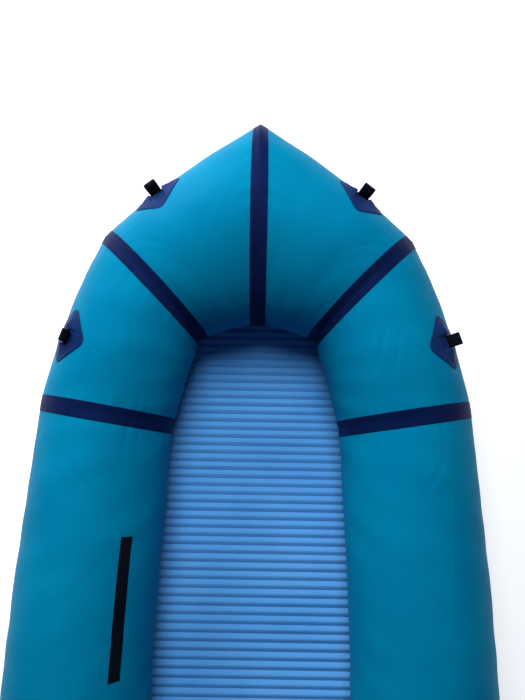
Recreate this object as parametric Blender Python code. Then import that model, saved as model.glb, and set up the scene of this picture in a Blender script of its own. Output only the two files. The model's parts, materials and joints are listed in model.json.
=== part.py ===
"""Inflatable one-person packraft: a ring of tube panels with seam tapes, a floor with a ribbed mat,
tie-down loops, valves, a seat and a folding backrest held by two straps. Metres, +Z up, bow towards +Y,
origin on the ground amidships."""

from math import atan2, cos, pi, radians, sin, sqrt

import bmesh
import bpy
from mathutils import Matrix, Vector
from mathutils.bvhtree import BVHTree

# Fabric, tape and the air left between pieces that touch
GAP = 0.0003
TUBE_FABRIC = 0.0008
TAPE_WIDTH = 0.034
TAPE_THICKNESS = 0.0006
TAPE_PROBE_SHARE = 0.02
TAPE_PROBE_ANGLE = 1.0
FLOOR_FABRIC = 0.0009

# Tube sections: sides of the faceted tube, and the radius that the side tubes have
SIDES = 24
TUBE_RADIUS = 0.140
FOOTPRINT_SAMPLES = 6

# Hull stations on the starboard side, bow to stern. Rise is how far the tube's foot is off the ground
BOW_Y = 0.8850
BOW_RISE = 0.065
BOW_HALF_LENGTH = 0.210
BOW_HALF_HEIGHT = 0.148
BOW_CANT = 20.0
SHOULDER_X = 0.234
SHOULDER_Y = 0.754
SHOULDER_RISE = 0.027
SHOULDER_HEADING = 45.0
SHOULDER_MITRE = 21.2
SHOULDER_CANT = 7.0
FRONT_HALF_COCKPIT = 0.181
FRONT_Y = 0.474
FRONT_RISE = 0.003
FRONT_HEADING = 9.0
MID_HALF_COCKPIT = 0.200
MID_FRONT_Y = 0.060
MID_REAR_Y = -0.240
REAR_HALF_COCKPIT = 0.188
REAR_Y = -0.545
REAR_RISE = 0.003
REAR_HEADING = -9.0
QUARTER_X = 0.226
QUARTER_Y = -0.800
QUARTER_RISE = 0.012
QUARTER_HEADING = -48.0
QUARTER_MITRE = 22.9
STERN_Y = -0.9196
STERN_RISE = 0.020
STERN_HALF_LENGTH = 0.168
STERN_HALF_HEIGHT = 0.145
STERN_CANT = 8.0

# How far each panel swells outward between its seams
BOW_BULGE = 0.013
SHOULDER_BULGE = 0.013
SIDE_BULGE = 0.004
QUARTER_BULGE = 0.010
STERN_BULGE = 0.010

# Where the floor meets the tube, from straight outboard, how many of the tube's facets the inside tape
# covers from there up, and how far it reaches across the one where the floor starts
FLOOR_JOINT_ANGLE = 247.5
FLOOR_TAPE_FACETS = 2
FLOOR_TAPE_FOOT_SHARE = 0.90

# Ribbed floor mat: the profile's shares are along a rib's pitch, then of its height
MAT_THICKNESS = 0.026
MAT_RIB_PITCH = 0.0184
MAT_RIB_HEIGHT = 0.0045
MAT_FRONT_HALF_WIDTH = 0.070
MAT_REAR_HALF_WIDTH = 0.110
RIB_PROFILE_SHARES = ((0.0, 0.0), (0.30, 1.0), (0.70, 1.0))

# Tie-down patches and their webbing loops
PATCH_HALF_LENGTH = 0.060
PATCH_HALF_WIDTH = 0.060
PATCH_CORNER_RADIUS = 0.012
PATCH_CORNER_STEPS = 3
PATCH_THICKNESS = 0.0009
BOW_LOOP_SHARE = 0.64
BOW_LOOP_ANGLE = 26.0
SHOULDER_LOOP_SHARE = 0.605
SHOULDER_LOOP_ANGLE = 42.0
STERN_LOOP_SHARE = 0.62
STERN_LOOP_ANGLE = 26.0
WEBBING_WIDTH = 0.025
WEBBING_THICKNESS = 0.0016
LOOP_HEIGHT = 0.027
LOOP_TOP_RADIUS = 0.0085
LOOP_ROOT_RADIUS = 0.0019
LOOP_HOLE_FOOT = 0.0042
LOOP_STEPS = 6
FOLDED_LOOP_LEAN = 58.0

# Main valve, on the port quarter's top
VALVE_SEGMENTS = 20
VALVE_SHARE = 0.30
VALVE_ANGLE = 75.0
VALVE_PATCH_RADIUS = 0.050
VALVE_BOOT_RADIUS = 0.036
VALVE_BOOT_HEIGHT = 0.0060
VALVE_NECK_RADIUS = 0.0170
VALVE_NECK_DEPTH = 0.022
VALVE_WALL = 0.0022
VALVE_RIM_RADIUS = 0.0240
VALVE_RIM_HEIGHT = 0.0050
VALVE_LIP = 0.0030
SPIDER_THICKNESS = 0.0022
SPIDER_DEPTH = 0.0110
SPIDER_HUB_RADIUS = 0.0055
SPIDER_HUB_SEGMENTS = 12
PLUNGER_STEM_RADIUS = 0.0026
PLUNGER_BUTTON_RADIUS = 0.0062
PLUNGER_BUTTON_HEIGHT = 0.0016
PLUNGER_DISC_THICKNESS = 0.0024
SPRING_RADIUS = 0.0046
SPRING_WIRE_RADIUS = 0.0006
SPRING_TURNS = 4
SPRING_STEPS = 8
CAP_RADIUS = 0.0270
CAP_WALL = 0.0020
CAP_HEIGHT = 0.0120
CAP_HINGE_REACH = 0.0050
CAP_HINGE_WIDTH = 0.0120
LEASH_THICKNESS = 0.0020
LEASH_RADIUS = 0.0210

# Mouth valves: one each on the tube, the seat and the backrest
MOUTH_BASE_RADIUS = 0.0130
MOUTH_BASE_THICKNESS = 0.0020
MOUTH_STEM_RADIUS = 0.0060
MOUTH_STEM_LENGTH = 0.0180
MOUTH_BORE_RADIUS = 0.0032
MOUTH_TIP_RADIUS = 0.0092
MOUTH_TIP_LENGTH = 0.0160
MOUTH_TIP_BORE_RADIUS = 0.0022
MOUTH_TIP_WALL = 0.0020
MOUTH_GRIP_DEPTH = 0.0012
MOUTH_GRIPS = 6
MOUTH_SEGMENTS = 12
TOPOFF_SHARE = 0.66
TOPOFF_ANGLE = 120.0

# Seat and backrest
SEAT_FRONT_Y = -0.225
SEAT_DEPTH = 0.300
SEAT_HALF_WIDTH = 0.170
SEAT_HEIGHT = 0.076
SEAT_SEAM_SHARE = 0.42
BACKREST_HALF_WIDTH = 0.165
BACKREST_LENGTH = 0.300
BACKREST_THICKNESS = 0.072
BACKREST_LEAN = 13.0
CUSHION_CHANNELS = 4
CUSHION_ROWS = 10
CHANNEL_SINK_SHARE = 0.20
CUSHION_PULL_SHARE = 0.04
CUSHION_ROUNDNESS = 3.2
SEAT_VALVE_SHARES = (-0.75, 0.80)
BACKREST_VALVE_SHARES = (-0.25, 0.80)
HINGE_STRIP_WIDTH = 0.120
HINGE_STRIP_LENGTH = 0.024
HINGE_STRIP_RISE = 0.034
HINGE_STRIP_THICKNESS = 0.0012

# Backrest straps: their anchor patches on the tubes, and the sliders that set their length
ANCHOR_SHARE = 0.77
ANCHOR_ANGLE = 128.0
ANCHOR_HALF_LENGTH = 0.045
ANCHOR_HALF_WIDTH = 0.028
ANCHOR_CORNER_RADIUS = 0.012
STRAP_WIDTH = 0.020
STRAP_HEIGHT_SHARE = 0.74
STRAP_SEWN_LENGTH = 0.030
STRAP_BEND_LENGTH = 0.018
SLIDER_LENGTH = 0.022
SLIDER_WALL = 0.0028
SLIDER_START = 0.010
SLIDER_TRAVEL = 0.040
STRAP_STEPS = 4

# Edges flatter than these angles are shaded smooth
SMOOTH_BELOW = 40.0
MAT_SMOOTH_BELOW = 30.0
CUSHION_SMOOTH_BELOW = 60.0

# Materials: colour, roughness, metallic
COLOURS = {
    "tube_fabric": ((0.003, 0.270, 0.470), 0.42, 0.0),
    "tape_fabric": ((0.014, 0.026, 0.130), 0.45, 0.0),
    "floor_fabric": ((0.020, 0.030, 0.070), 0.60, 0.0),
    "mat_foam": ((0.075, 0.280, 0.620), 0.55, 0.0),
    "patch_fabric": ((0.030, 0.045, 0.200), 0.45, 0.0),
    "webbing": ((0.006, 0.006, 0.010), 0.75, 0.0),
    "valve_plastic": ((0.030, 0.032, 0.036), 0.40, 0.0),
    "mouth_plastic": ((0.55, 0.57, 0.60), 0.35, 0.0),
    "spring_steel": ((0.70, 0.71, 0.73), 0.25, 1.0),
    "cushion_fabric": ((0.035, 0.045, 0.070), 0.60, 0.0),
}

STARBOARD, PORT = 1, -1
SIDE_NAMES = {STARBOARD: "right", PORT: "left"}


# Sections and panels of the tube

class Station:
    """A seam plane across the tube, with the ellipse that the tube has there."""

    def __init__(self, x, y, rise, heading, half_width, half_height, cant=0.0):
        outward = Vector((cos(radians(heading)), sin(radians(heading)), 0.0))
        up = Vector((0.0, 0.0, 1.0))
        self.across = outward * cos(radians(cant)) + up * sin(radians(cant))
        self.along_height = up * cos(radians(cant)) - outward * sin(radians(cant))
        self.half_width = half_width
        self.half_height = half_height
        self.centre = Vector((x, y, half_height * cos(pi / SIDES) + rise))

    def point(self, angle):
        reach = self.half_width * cos(angle), self.half_height * sin(angle)
        return self.centre + self.across * reach[0] + self.along_height * reach[1]

    def normal(self, angle):
        lean = cos(angle) / self.half_width, sin(angle) / self.half_height
        return (self.across * lean[0] + self.along_height * lean[1]).normalized()


class Panel:
    """One fabric panel of the tube, between two stations and through any between them."""

    def __init__(self, name, stations, bulge, steps):
        self.name = name
        self.stations = stations
        self.bulge = bulge
        gaps = [(b.centre - a.centre).length for a, b in zip(stations, stations[1:])]
        self.length = sum(gaps)
        self.knots = [sum(gaps[:i]) / self.length for i in range(len(stations))]
        taped = TAPE_WIDTH / 2 / self.length
        inner = self.knots[1:-1]
        evenly = [taped + (1 - 2 * taped) * i / steps for i in range(1, steps)]
        kept = [s for s in evenly if all(abs(s - k) > taped for k in inner)]
        self.shares = sorted([*kept, *inner])

    def span(self, share):
        """The two stations that share lies between, and how far along it is from the first."""
        last = len(self.knots) - 2
        i = min(last, max(0, sum(1 for k in self.knots if k <= share) - 1))
        return i, (share - self.knots[i]) / (self.knots[i + 1] - self.knots[i])

    def normal(self, share, angle):
        i, part = self.span(share)
        first, second = self.stations[i], self.stations[i + 1]
        return first.normal(angle).lerp(second.normal(angle), part).normalized()

    def point(self, share, angle, offset=0.0):
        i, part = self.span(share)
        first, second = self.stations[i], self.stations[i + 1]
        swell = self.bulge * 4 * share * (1 - share) * outboard_share(angle)
        middle = first.point(angle).lerp(second.point(angle), part)
        return middle + self.normal(share, angle) * (offset + swell)

    def ring(self, share, offset=0.0, side=STARBOARD):
        points = [self.point(share, ring_angle(k), offset) for k in range(SIDES)]
        return [Vector((p.x * side, p.y, p.z)) for p in points]

    def tape_edge(self, end, offset, side=STARBOARD):
        """Ring half a tape's width from the seam at one end, measured square to the seam."""
        inward = 1 - 2 * end
        turn = radians(TAPE_PROBE_ANGLE)
        points = []
        for angle in (ring_angle(k) for k in range(SIDES)):
            ahead = self.point(end + inward * TAPE_PROBE_SHARE, angle) - self.point(end, angle)
            seam = self.point(end, angle + turn) - self.point(end, angle - turn)
            run = (ahead - ahead.project(seam)).length / TAPE_PROBE_SHARE
            points.append(self.point(end + inward * TAPE_WIDTH / 2 / run, angle, offset))
        return [Vector((p.x * side, p.y, p.z)) for p in points]

    def rings(self, offset, side=STARBOARD, end_gap=GAP / 2):
        """All the panel's rings, end to end. The second and the last but one lie under tape edges."""
        end = end_gap / self.length
        middle = [self.ring(s, offset, side) for s in self.shares]
        first, last = (self.ring(s, offset, side) for s in (end, 1 - end))
        return [first, self.tape_edge(0, offset, side), *middle, self.tape_edge(1, offset, side), last]


def ring_angle(k):
    """Angle of the ring's k-th corner, from straight outboard, upwards. A flat facet is at its foot."""
    return 2 * pi * (k + 0.5) / SIDES


def outboard_share(angle):
    """Share of a panel's swell there is round the tube: all of it outboard, none inboard or underneath."""
    above_foot = max(0, 1 + min(0, sin(angle)) / cos(pi / SIDES))
    return (0.5 + 0.5 * cos(angle)) * above_foot


def side_station(half_cockpit, y, rise, heading):
    """A round section of the side tube, from half of the cockpit's width there."""
    return Station(half_cockpit + TUBE_RADIUS, y, rise, heading, TUBE_RADIUS, TUBE_RADIUS)


def corner_station(x, y, rise, heading, mitre, cant=0.0):
    """A mitred section of the tube at a corner of the hull."""
    return Station(x, y, rise, heading, TUBE_RADIUS / cos(radians(mitre)), TUBE_RADIUS, cant)


bow = Station(0, BOW_Y, BOW_RISE, 90, BOW_HALF_LENGTH, BOW_HALF_HEIGHT, BOW_CANT)
shoulder = corner_station(
    SHOULDER_X, SHOULDER_Y, SHOULDER_RISE, SHOULDER_HEADING, SHOULDER_MITRE, SHOULDER_CANT
)
front = side_station(FRONT_HALF_COCKPIT, FRONT_Y, FRONT_RISE, FRONT_HEADING)
mid_front = side_station(MID_HALF_COCKPIT, MID_FRONT_Y, 0, 0)
mid_rear = side_station(MID_HALF_COCKPIT, MID_REAR_Y, 0, 0)
rear = side_station(REAR_HALF_COCKPIT, REAR_Y, REAR_RISE, REAR_HEADING)
quarter = corner_station(QUARTER_X, QUARTER_Y, QUARTER_RISE, QUARTER_HEADING, QUARTER_MITRE)
stern = Station(0, STERN_Y, STERN_RISE, -90, STERN_HALF_LENGTH, STERN_HALF_HEIGHT, STERN_CANT)

bow_panel = Panel("bow_panel", [bow, shoulder], BOW_BULGE, 3)
shoulder_panel = Panel("shoulder_panel", [shoulder, front], SHOULDER_BULGE, 3)
side_panel = Panel("side_panel", [front, mid_front, mid_rear, rear], SIDE_BULGE, 4)
quarter_panel = Panel("quarter_panel", [rear, quarter], QUARTER_BULGE, 3)
stern_panel = Panel("stern_panel", [quarter, stern], STERN_BULGE, 3)
PANELS = [bow_panel, shoulder_panel, side_panel, quarter_panel, stern_panel]

# Tie-downs: name, panel, share along it and angle round it
TIE_DOWNS = [
    ("bow", bow_panel, BOW_LOOP_SHARE, BOW_LOOP_ANGLE),
    ("shoulder", shoulder_panel, SHOULDER_LOOP_SHARE, SHOULDER_LOOP_ANGLE),
    ("stern", stern_panel, 1 - STERN_LOOP_SHARE, STERN_LOOP_ANGLE),
]

# Offsets from the tube's outer face, outward: the seam tape, then what lies over the tape
TAPE_TOP = GAP + TAPE_THICKNESS
OVER_TAPE = TAPE_TOP + GAP


# Meshes and objects

def make_material(name):
    colour, roughness, metallic = COLOURS[name]
    material = bpy.data.materials.new(name)
    material.use_nodes = True
    shader = material.node_tree.nodes["Principled BSDF"]
    shader.inputs["Base Color"].default_value = (*colour, 1)
    shader.inputs["Roughness"].default_value = roughness
    shader.inputs["Metallic"].default_value = metallic
    material.diffuse_color = (*colour, 1)
    return material


def mesh_of(name, points, faces):
    """A mesh with its faces turned outward."""
    bm = bmesh.new()
    corners = [bm.verts.new(p) for p in points]
    for face in faces:
        bm.faces.new([corners[i] for i in face])
    bmesh.ops.recalc_face_normals(bm, faces=bm.faces)
    if bm.calc_volume(signed=True) < 0:
        bmesh.ops.reverse_faces(bm, faces=bm.faces)
    mesh = bpy.data.meshes.new(name)
    bm.to_mesh(mesh)
    bm.free()
    return mesh


def add_object(name, mesh, material, smooth_below=None):
    mesh.materials.clear()
    mesh.materials.append(material)
    if smooth_below is not None:
        mesh.shade_smooth()
        mesh.set_sharp_from_angle(angle=radians(smooth_below))
    piece = bpy.data.objects.new(name, mesh)
    bpy.context.scene.collection.objects.link(piece)
    return piece


def combined(mesh, operation, tool):
    """The mesh after a Boolean with another one. Both meshes are used up."""
    owner = bpy.data.objects.new("boolean_owner", mesh)
    cutter = bpy.data.objects.new("boolean_cutter", tool)
    for piece in (owner, cutter):
        bpy.context.scene.collection.objects.link(piece)
    step = owner.modifiers.new("boolean", "BOOLEAN")
    step.operation = operation
    step.object = cutter
    bpy.context.view_layer.update()
    graph = bpy.context.evaluated_depsgraph_get()
    made = bpy.data.meshes.new_from_object(owner.evaluated_get(graph))
    for piece in (owner, cutter):
        bpy.data.objects.remove(piece)
    return made


def skin(name, outer, inner, closed_across=True, leaning=()):
    """A closed shell between two stacks of rings or rows. Rows that are open across get side walls. Each
    facet is split from its first corner to the third, or the other way where (row, column) is in leaning:
    layers that lie on each other are split alike, so that they stay a gap apart."""
    rows, count = len(outer), len(outer[0])
    points = [p for ring in outer for p in ring] + [p for ring in inner for p in ring]
    layer = rows * count
    spans = count if closed_across else count - 1
    faces = []
    for i in range(rows - 1):
        for k in range(spans):
            a, b = i * count + k, i * count + (k + 1) % count
            quad = [a, b, b + count, a + count]
            if (i, k) in leaning:
                quad = quad[1:] + quad[:1]
            for base in (0, layer):
                first, second, third, fourth = (base + corner for corner in quad)
                faces += [(first, second, third), (first, third, fourth)]
    for i in (0, rows - 1):
        for k in range(spans):
            a, b = i * count + k, i * count + (k + 1) % count
            faces.append((a, layer + a, layer + b, b))
    if not closed_across:
        for k in (0, count - 1):
            for i in range(rows - 1):
                a, b = i * count + k, (i + 1) * count + k
                faces.append((a, b, layer + b, layer + a))
    return mesh_of(name, points, faces)


def plug(name, rings):
    """A closed solid through a stack of rings, with flat ends."""
    count = len(rings[0])
    points = [p for ring in rings for p in ring]
    faces = [tuple(range(count)), tuple(range(len(points) - count, len(points)))]
    for i in range(len(rings) - 1):
        for k in range(count):
            a, b = i * count + k, i * count + (k + 1) % count
            faces.append((a, b, b + count, a + count))
    return mesh_of(name, points, faces)


def turned(name, profile, segments):
    """A solid of revolution about +Z from (radius, height) pairs that go round its section once."""
    closed_on_axis = profile[0][0] == 0
    points, rings = [], []
    for radius, height in profile:
        if radius == 0:
            rings.append([len(points)] * segments)
            points.append(Vector((0, 0, height)))
            continue
        rings.append(list(range(len(points), len(points) + segments)))
        turn = [2 * pi * k / segments for k in range(segments)]
        points += [Vector((radius * cos(a), radius * sin(a), height)) for a in turn]
    pairs = list(zip(rings, rings[1:]))
    if not closed_on_axis:
        pairs.append((rings[-1], rings[0]))
    faces = []
    for low, high in pairs:
        for k in range(segments):
            following = (k + 1) % segments
            face = dict.fromkeys((low[k], low[following], high[following], high[k]))
            if len(face) > 2:
                faces.append(tuple(face))
    return mesh_of(name, points, faces)


def band(name, outline, hole, width):
    """A closed band, as wide as width along X, between an outline and a hole that are (y, z) pairs."""
    points = [Vector((x, y, z)) for x in (-width / 2, width / 2) for y, z in outline]
    count = len(outline)
    faces = [(k, (k + 1) % count, count + (k + 1) % count, count + k) for k in range(count)]
    start = len(points)
    points += [Vector((x, y, z)) for x in (-width / 2, width / 2) for y, z in hole]
    for k in range(count):
        n = (k + 1) % count
        inner, after = start + k, start + n
        faces.append((inner, after, count + after, count + inner))
        faces.append((k, n, after, inner))
        faces.append((count + k, count + n, count + after, count + inner))
    return mesh_of(name, points, faces)


def placed(mesh, frame):
    mesh.transform(frame)
    return mesh


def frame_at(origin, x_axis, z_axis):
    """A matrix that carries the local axes to the given ones at origin."""
    z_axis = z_axis.normalized()
    y_axis = z_axis.cross(x_axis).normalized()
    x_axis = y_axis.cross(z_axis)
    return Matrix.Translation(origin) @ Matrix((x_axis, y_axis, z_axis)).transposed().to_4x4()


# The tube as a surface that other pieces sit on

def tube_tree(panels, offset, side=STARBOARD):
    """The tube's face at an offset, for rays, without the gaps between panels. Its facets are split as
    skin splits them."""
    points, faces = [], []
    for panel in panels:
        for i, ring in enumerate(panel.rings(offset, side, 0)):
            start = len(points)
            points += ring
            if i:
                for k in range(SIDES):
                    n = (k + 1) % SIDES
                    first, third = start - SIDES + k, start + n
                    faces += [(first, start - SIDES + n, third), (first, third, start + k)]
    return BVHTree.FromPolygons(points, faces)


def seat_on_tube(panel, share, angle, offset, side, footprint=(0, 0)):
    """Frame on the tube's faceted face: Z outward, X along the tube towards the stern. It is lifted clear of
    the facets under a footprint, which is given as half sizes along X and Y."""
    angle = radians(angle)
    normal = panel.normal(share, angle)
    start = panel.point(share, angle, TUBE_RADIUS)
    hit, facet_normal, _, _ = tube_tree([panel], offset).ray_cast(start, -normal)
    if facet_normal.dot(normal) < 0:
        facet_normal = -facet_normal
    step = GAP / panel.length
    along = panel.point(share + step, angle) - panel.point(share - step, angle)
    flip = Vector((side, 1, 1))
    frame = frame_at(hit * flip, along * flip, facet_normal * flip)
    return frame @ Matrix.Translation((0, 0, height_under(frame, panel, offset, side, footprint)))


def height_under(frame, panel, offset, side, footprint):
    """Height in the frame of the tube's highest point under the footprint."""
    tree = tube_tree([panel], offset, side)
    down = -frame.to_3x3().col[2]
    heights = [0]
    for i in range(FOOTPRINT_SAMPLES + 1):
        for j in range(FOOTPRINT_SAMPLES + 1):
            shares = 2 * i / FOOTPRINT_SAMPLES - 1, 2 * j / FOOTPRINT_SAMPLES - 1
            start = frame @ Vector((footprint[0] * shares[0], footprint[1] * shares[1], TUBE_RADIUS))
            hit = tree.ray_cast(start, down)[0]
            if hit is not None:
                heights.append(TUBE_RADIUS - (hit - start).length)
    return max(heights)


def wall_x(tree, y, z):
    """Half width of the cockpit at a height, from the middle to the tube's inner face."""
    hit = tree.ray_cast(Vector((0, y, z)), Vector((1, 0, 0)))[0]
    return hit.x


def skin_patch(name, panel, frame, outline, lift, thickness, side, hole=None):
    """A patch that follows the tube's facets inside an outline drawn in the frame's XY plane."""
    sheet = skin(name, panel.rings(lift + thickness, side), panel.rings(lift, side))
    reach = TUBE_RADIUS / 2
    cutter = prism(outline, -reach, reach)
    made = combined(sheet, "INTERSECT", placed(cutter, frame))
    if hole is not None:
        made = combined(made, "DIFFERENCE", placed(prism(hole, -reach, reach), frame))
    return made


def prism(outline, low, high):
    points = [Vector((x, y, z)) for z in (low, high) for x, y in outline]
    count = len(outline)
    faces = [tuple(range(count)), tuple(range(count, 2 * count))]
    faces += [(k, (k + 1) % count, count + (k + 1) % count, count + k) for k in range(count)]
    return mesh_of("prism", points, faces)


def circle(radius, segments):
    turns = [2 * pi * k / segments for k in range(segments)]
    return [(radius * cos(turn), radius * sin(turn)) for turn in turns]


def rounded(corners, radius, steps):
    """A convex outline with its corners made round."""
    outline = []
    count = len(corners)
    for i, corner in enumerate(corners):
        here = Vector(corner)
        to_last = (Vector(corners[i - 1]) - here).normalized()
        to_next = (Vector(corners[(i + 1) % count]) - here).normalized()
        half = to_last.angle(to_next) / 2
        middle = here + (to_last + to_next).normalized() * (radius / sin(half))
        start = here + to_last * (radius / (sin(half) / cos(half))) - middle
        end = here + to_next * (radius / (sin(half) / cos(half))) - middle
        first = atan2(start.y, start.x)
        sweep = atan2(start.cross(end), start.dot(end))
        for k in range(steps + 1):
            turn = first + sweep * k / steps
            outline.append((middle.x + radius * cos(turn), middle.y + radius * sin(turn)))
    return outline


# Pieces

def make_tube(material):
    """The ten panels, with the holes that the valves pass through."""
    holes = {
        ("quarter_panel", PORT): (main_valve_frame(0), VALVE_NECK_RADIUS + GAP),
        ("side_panel", PORT): (topoff_frame(), MOUTH_STEM_RADIUS + GAP),
    }
    for panel in PANELS:
        for side in (STARBOARD, PORT):
            name = f"{panel.name}_{SIDE_NAMES[side]}"
            mesh = skin(name, panel.rings(0, side), panel.rings(-TUBE_FABRIC, side))
            if (panel.name, side) in holes:
                frame, radius = holes[panel.name, side]
                drill = prism(circle(radius, VALVE_SEGMENTS), -TUBE_RADIUS / 2, TUBE_RADIUS / 2)
                mesh = combined(mesh, "DIFFERENCE", placed(drill, frame))
            add_object(name, mesh, material, SMOOTH_BELOW)


def make_seam_tapes(material):
    for name, panel, end in (("bow_seam_tape", bow_panel, 0), ("stern_seam_tape", stern_panel, 1)):
        layers = []
        for offset in (TAPE_TOP, GAP):
            edges = [panel.tape_edge(end, offset, side) for side in (PORT, STARBOARD)]
            layers.append([edges[0], panel.ring(end, offset), edges[1]])
        leaning = [(0, k) for k in range(SIDES)]
        if end:
            layers = [rows[::-1] for rows in layers]
            leaning = [(1, k) for k in range(SIDES)]
        add_object(name, skin(name, *layers, leaning=leaning), material, SMOOTH_BELOW)
    names = ["shoulder_seam_tape", "front_seam_tape", "rear_seam_tape", "quarter_seam_tape"]
    for name, before, after in zip(names, PANELS, PANELS[1:]):
        for side in (STARBOARD, PORT):
            full = f"{name}_{SIDE_NAMES[side]}"
            layers = []
            for offset in (TAPE_TOP, GAP):
                layers.append([
                    before.tape_edge(1, offset, side),
                    after.ring(0, offset, side),
                    after.tape_edge(0, offset, side),
                ])
            add_object(full, skin(full, *layers), material, SMOOTH_BELOW)


# Corners of the tube's ring that the floor is joined at
FLOOR_EDGE = round(SIDES * radians(FLOOR_JOINT_ANGLE) / (2 * pi) - 0.5)
FLOOR_JOIN = FLOOR_EDGE - 1
FLOOR_TAPE_TOP = FLOOR_JOIN - FLOOR_TAPE_FACETS


def hull_rings(offset):
    """All the tube's rings on the starboard side, bow to stern, without the ends at each seam."""
    rings = []
    for panel in PANELS:
        rings += panel.rings(offset)[1:-1]
        if panel is not PANELS[-1]:
            rings.append(panel.ring(1, offset))
    return rings


def floor_rows(offset):
    """Rows across the floor from port to starboard, each with the two rim corners on either side."""
    rows = []
    for ring in hull_rings(offset):
        edge, join = ring[FLOOR_EDGE], ring[FLOOR_JOIN]
        port = [Vector((-p.x, p.y, p.z)) for p in (edge, join)]
        rows.append([*port, join, edge])
    return rows


def make_floor(material):
    upper, lower = floor_rows(OVER_TAPE), floor_rows(OVER_TAPE + FLOOR_FABRIC)
    port_rim = [(i, 0) for i in range(len(upper))]
    mesh = skin("floor_sheet", upper, lower, closed_across=False, leaning=port_rim)
    add_object("floor_sheet", mesh, material)


def make_floor_tapes(material):
    """The inside tape over the joint between tube and floor, on each side."""
    for side in (STARBOARD, PORT):
        name = f"floor_tape_{SIDE_NAMES[side]}"
        layers = []
        for offset in (OVER_TAPE, OVER_TAPE + TAPE_THICKNESS):
            rows = []
            for ring in hull_rings(offset):
                strip = ring[FLOOR_TAPE_TOP:FLOOR_JOIN + 1]
                foot = strip[-2].lerp(strip[-1], FLOOR_TAPE_FOOT_SHARE)
                rows.append([Vector((p.x * side, p.y, p.z)) for p in (*strip[:-1], foot)])
            layers.append(rows)
        add_object(name, skin(name, layers[1], layers[0], closed_across=False), material)


def floor_top(y):
    """Height of the floor sheet's upper face."""
    rows = floor_rows(OVER_TAPE)
    for ahead, astern in zip(rows, rows[1:]):
        first, second = ahead[2], astern[2]
        if second.y <= y <= first.y:
            return first.z + (second.z - first.z) * (first.y - y) / (first.y - second.y)
    return rows[0][2].z if y > 0 else rows[-1][2].z


def mat_clear_wall():
    return tube_tree(PANELS, OVER_TAPE + TAPE_THICKNESS + 2 * GAP)


def mat_top(y):
    return floor_top(y) + GAP + MAT_THICKNESS


def mat_end(wall, start, step, half_width):
    """Where the mat ends, going from start: the tube there leaves it only half_width on each side."""
    y = start
    while wall_x(wall, y + step, mat_top(y + step)) > half_width:
        y += step
    return y


def mat_ends():
    wall = mat_clear_wall()
    step = MAT_RIB_PITCH
    return (
        mat_end(wall, SHOULDER_Y - TUBE_RADIUS, step, MAT_FRONT_HALF_WIDTH),
        mat_end(wall, QUARTER_Y + TUBE_RADIUS, -step, MAT_REAR_HALF_WIDTH),
    )


def make_mat(material):
    wall = mat_clear_wall()
    front_y, rear_y = mat_ends()
    ribs = int((front_y - rear_y) / MAT_RIB_PITCH)
    rows = []
    for i in range(ribs + 1):
        for share, height in RIB_PROFILE_SHARES[:1 if i == ribs else None]:
            y = front_y - (i + share) * MAT_RIB_PITCH
            half = wall_x(wall, y, mat_top(y))
            top = mat_top(y) - MAT_RIB_HEIGHT * (1 - height)
            foot = floor_top(y) + GAP
            rows.append([(-half, y, foot), (-half, y, top), (half, y, top), (half, y, foot)])
    mesh = plug("floor_mat", [[Vector(p) for p in row] for row in rows])
    add_object("floor_mat", mesh, material, MAT_SMOOTH_BELOW)


def loop_frame(panel, share, angle, side, lean=0.0):
    """Frame at a tie-down loop's root: X along the tube and through the loop's hole, Z up the loop."""
    footprint = WEBBING_WIDTH / 2, LOOP_ROOT_RADIUS
    frame = seat_on_tube(panel, share, angle, GAP + PATCH_THICKNESS, side, footprint)
    lifted = frame @ Matrix.Translation((0, 0, LOOP_ROOT_RADIUS + GAP))
    return lifted @ Matrix.Rotation(radians(lean), 4, "X")


def teardrop(low_radius, low_height, high_radius, high_height, steps):
    """Outline round a small circle low down and a big one above it, in (across, height) pairs."""
    lean = (high_radius - low_radius) / (high_height - low_height)
    tilt = atan2(lean, sqrt(1 - lean * lean))
    outline = []
    for k in range(steps + 1):
        turn = -tilt + (pi + 2 * tilt) * k / steps
        outline.append((high_radius * cos(turn), high_height + high_radius * sin(turn)))
    for k in range(steps + 1):
        turn = pi + tilt + (pi - 2 * tilt) * k / steps
        outline.append((low_radius * cos(turn), low_height + low_radius * sin(turn)))
    return outline


def make_tie_downs(patch_material, loop_material):
    reach, spread = PATCH_HALF_LENGTH, PATCH_HALF_WIDTH
    diamond = [(reach, 0), (0, spread), (-reach, 0), (0, -spread)]
    outline = rounded(diamond, PATCH_CORNER_RADIUS, PATCH_CORNER_STEPS)
    top = LOOP_HEIGHT - LOOP_TOP_RADIUS
    hole_radius = LOOP_TOP_RADIUS - WEBBING_THICKNESS
    outer = teardrop(LOOP_ROOT_RADIUS, 0, LOOP_TOP_RADIUS, top, LOOP_STEPS)
    inner = teardrop(LOOP_ROOT_RADIUS / 2, LOOP_HOLE_FOOT, hole_radius, top, LOOP_STEPS)
    for place, panel, share, angle in TIE_DOWNS:
        for side in (STARBOARD, PORT):
            base = seat_on_tube(panel, share, angle, GAP, side)
            name = f"{place}_patch_{SIDE_NAMES[side]}"
            mesh = skin_patch(name, panel, base, outline, GAP, PATCH_THICKNESS, side)
            add_object(name, mesh, patch_material)
            lean = -FOLDED_LOOP_LEAN if (place, side) == ("shoulder", PORT) else 0
            name = f"{place}_loop_{SIDE_NAMES[side]}"
            piece = add_object(name, band(name, outer, inner, WEBBING_WIDTH), loop_material, SMOOTH_BELOW)
            piece.matrix_world = loop_frame(panel, share, angle, side, lean)


def main_valve_frame(offset):
    return seat_on_tube(quarter_panel, VALVE_SHARE, VALVE_ANGLE, offset, PORT)


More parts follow.
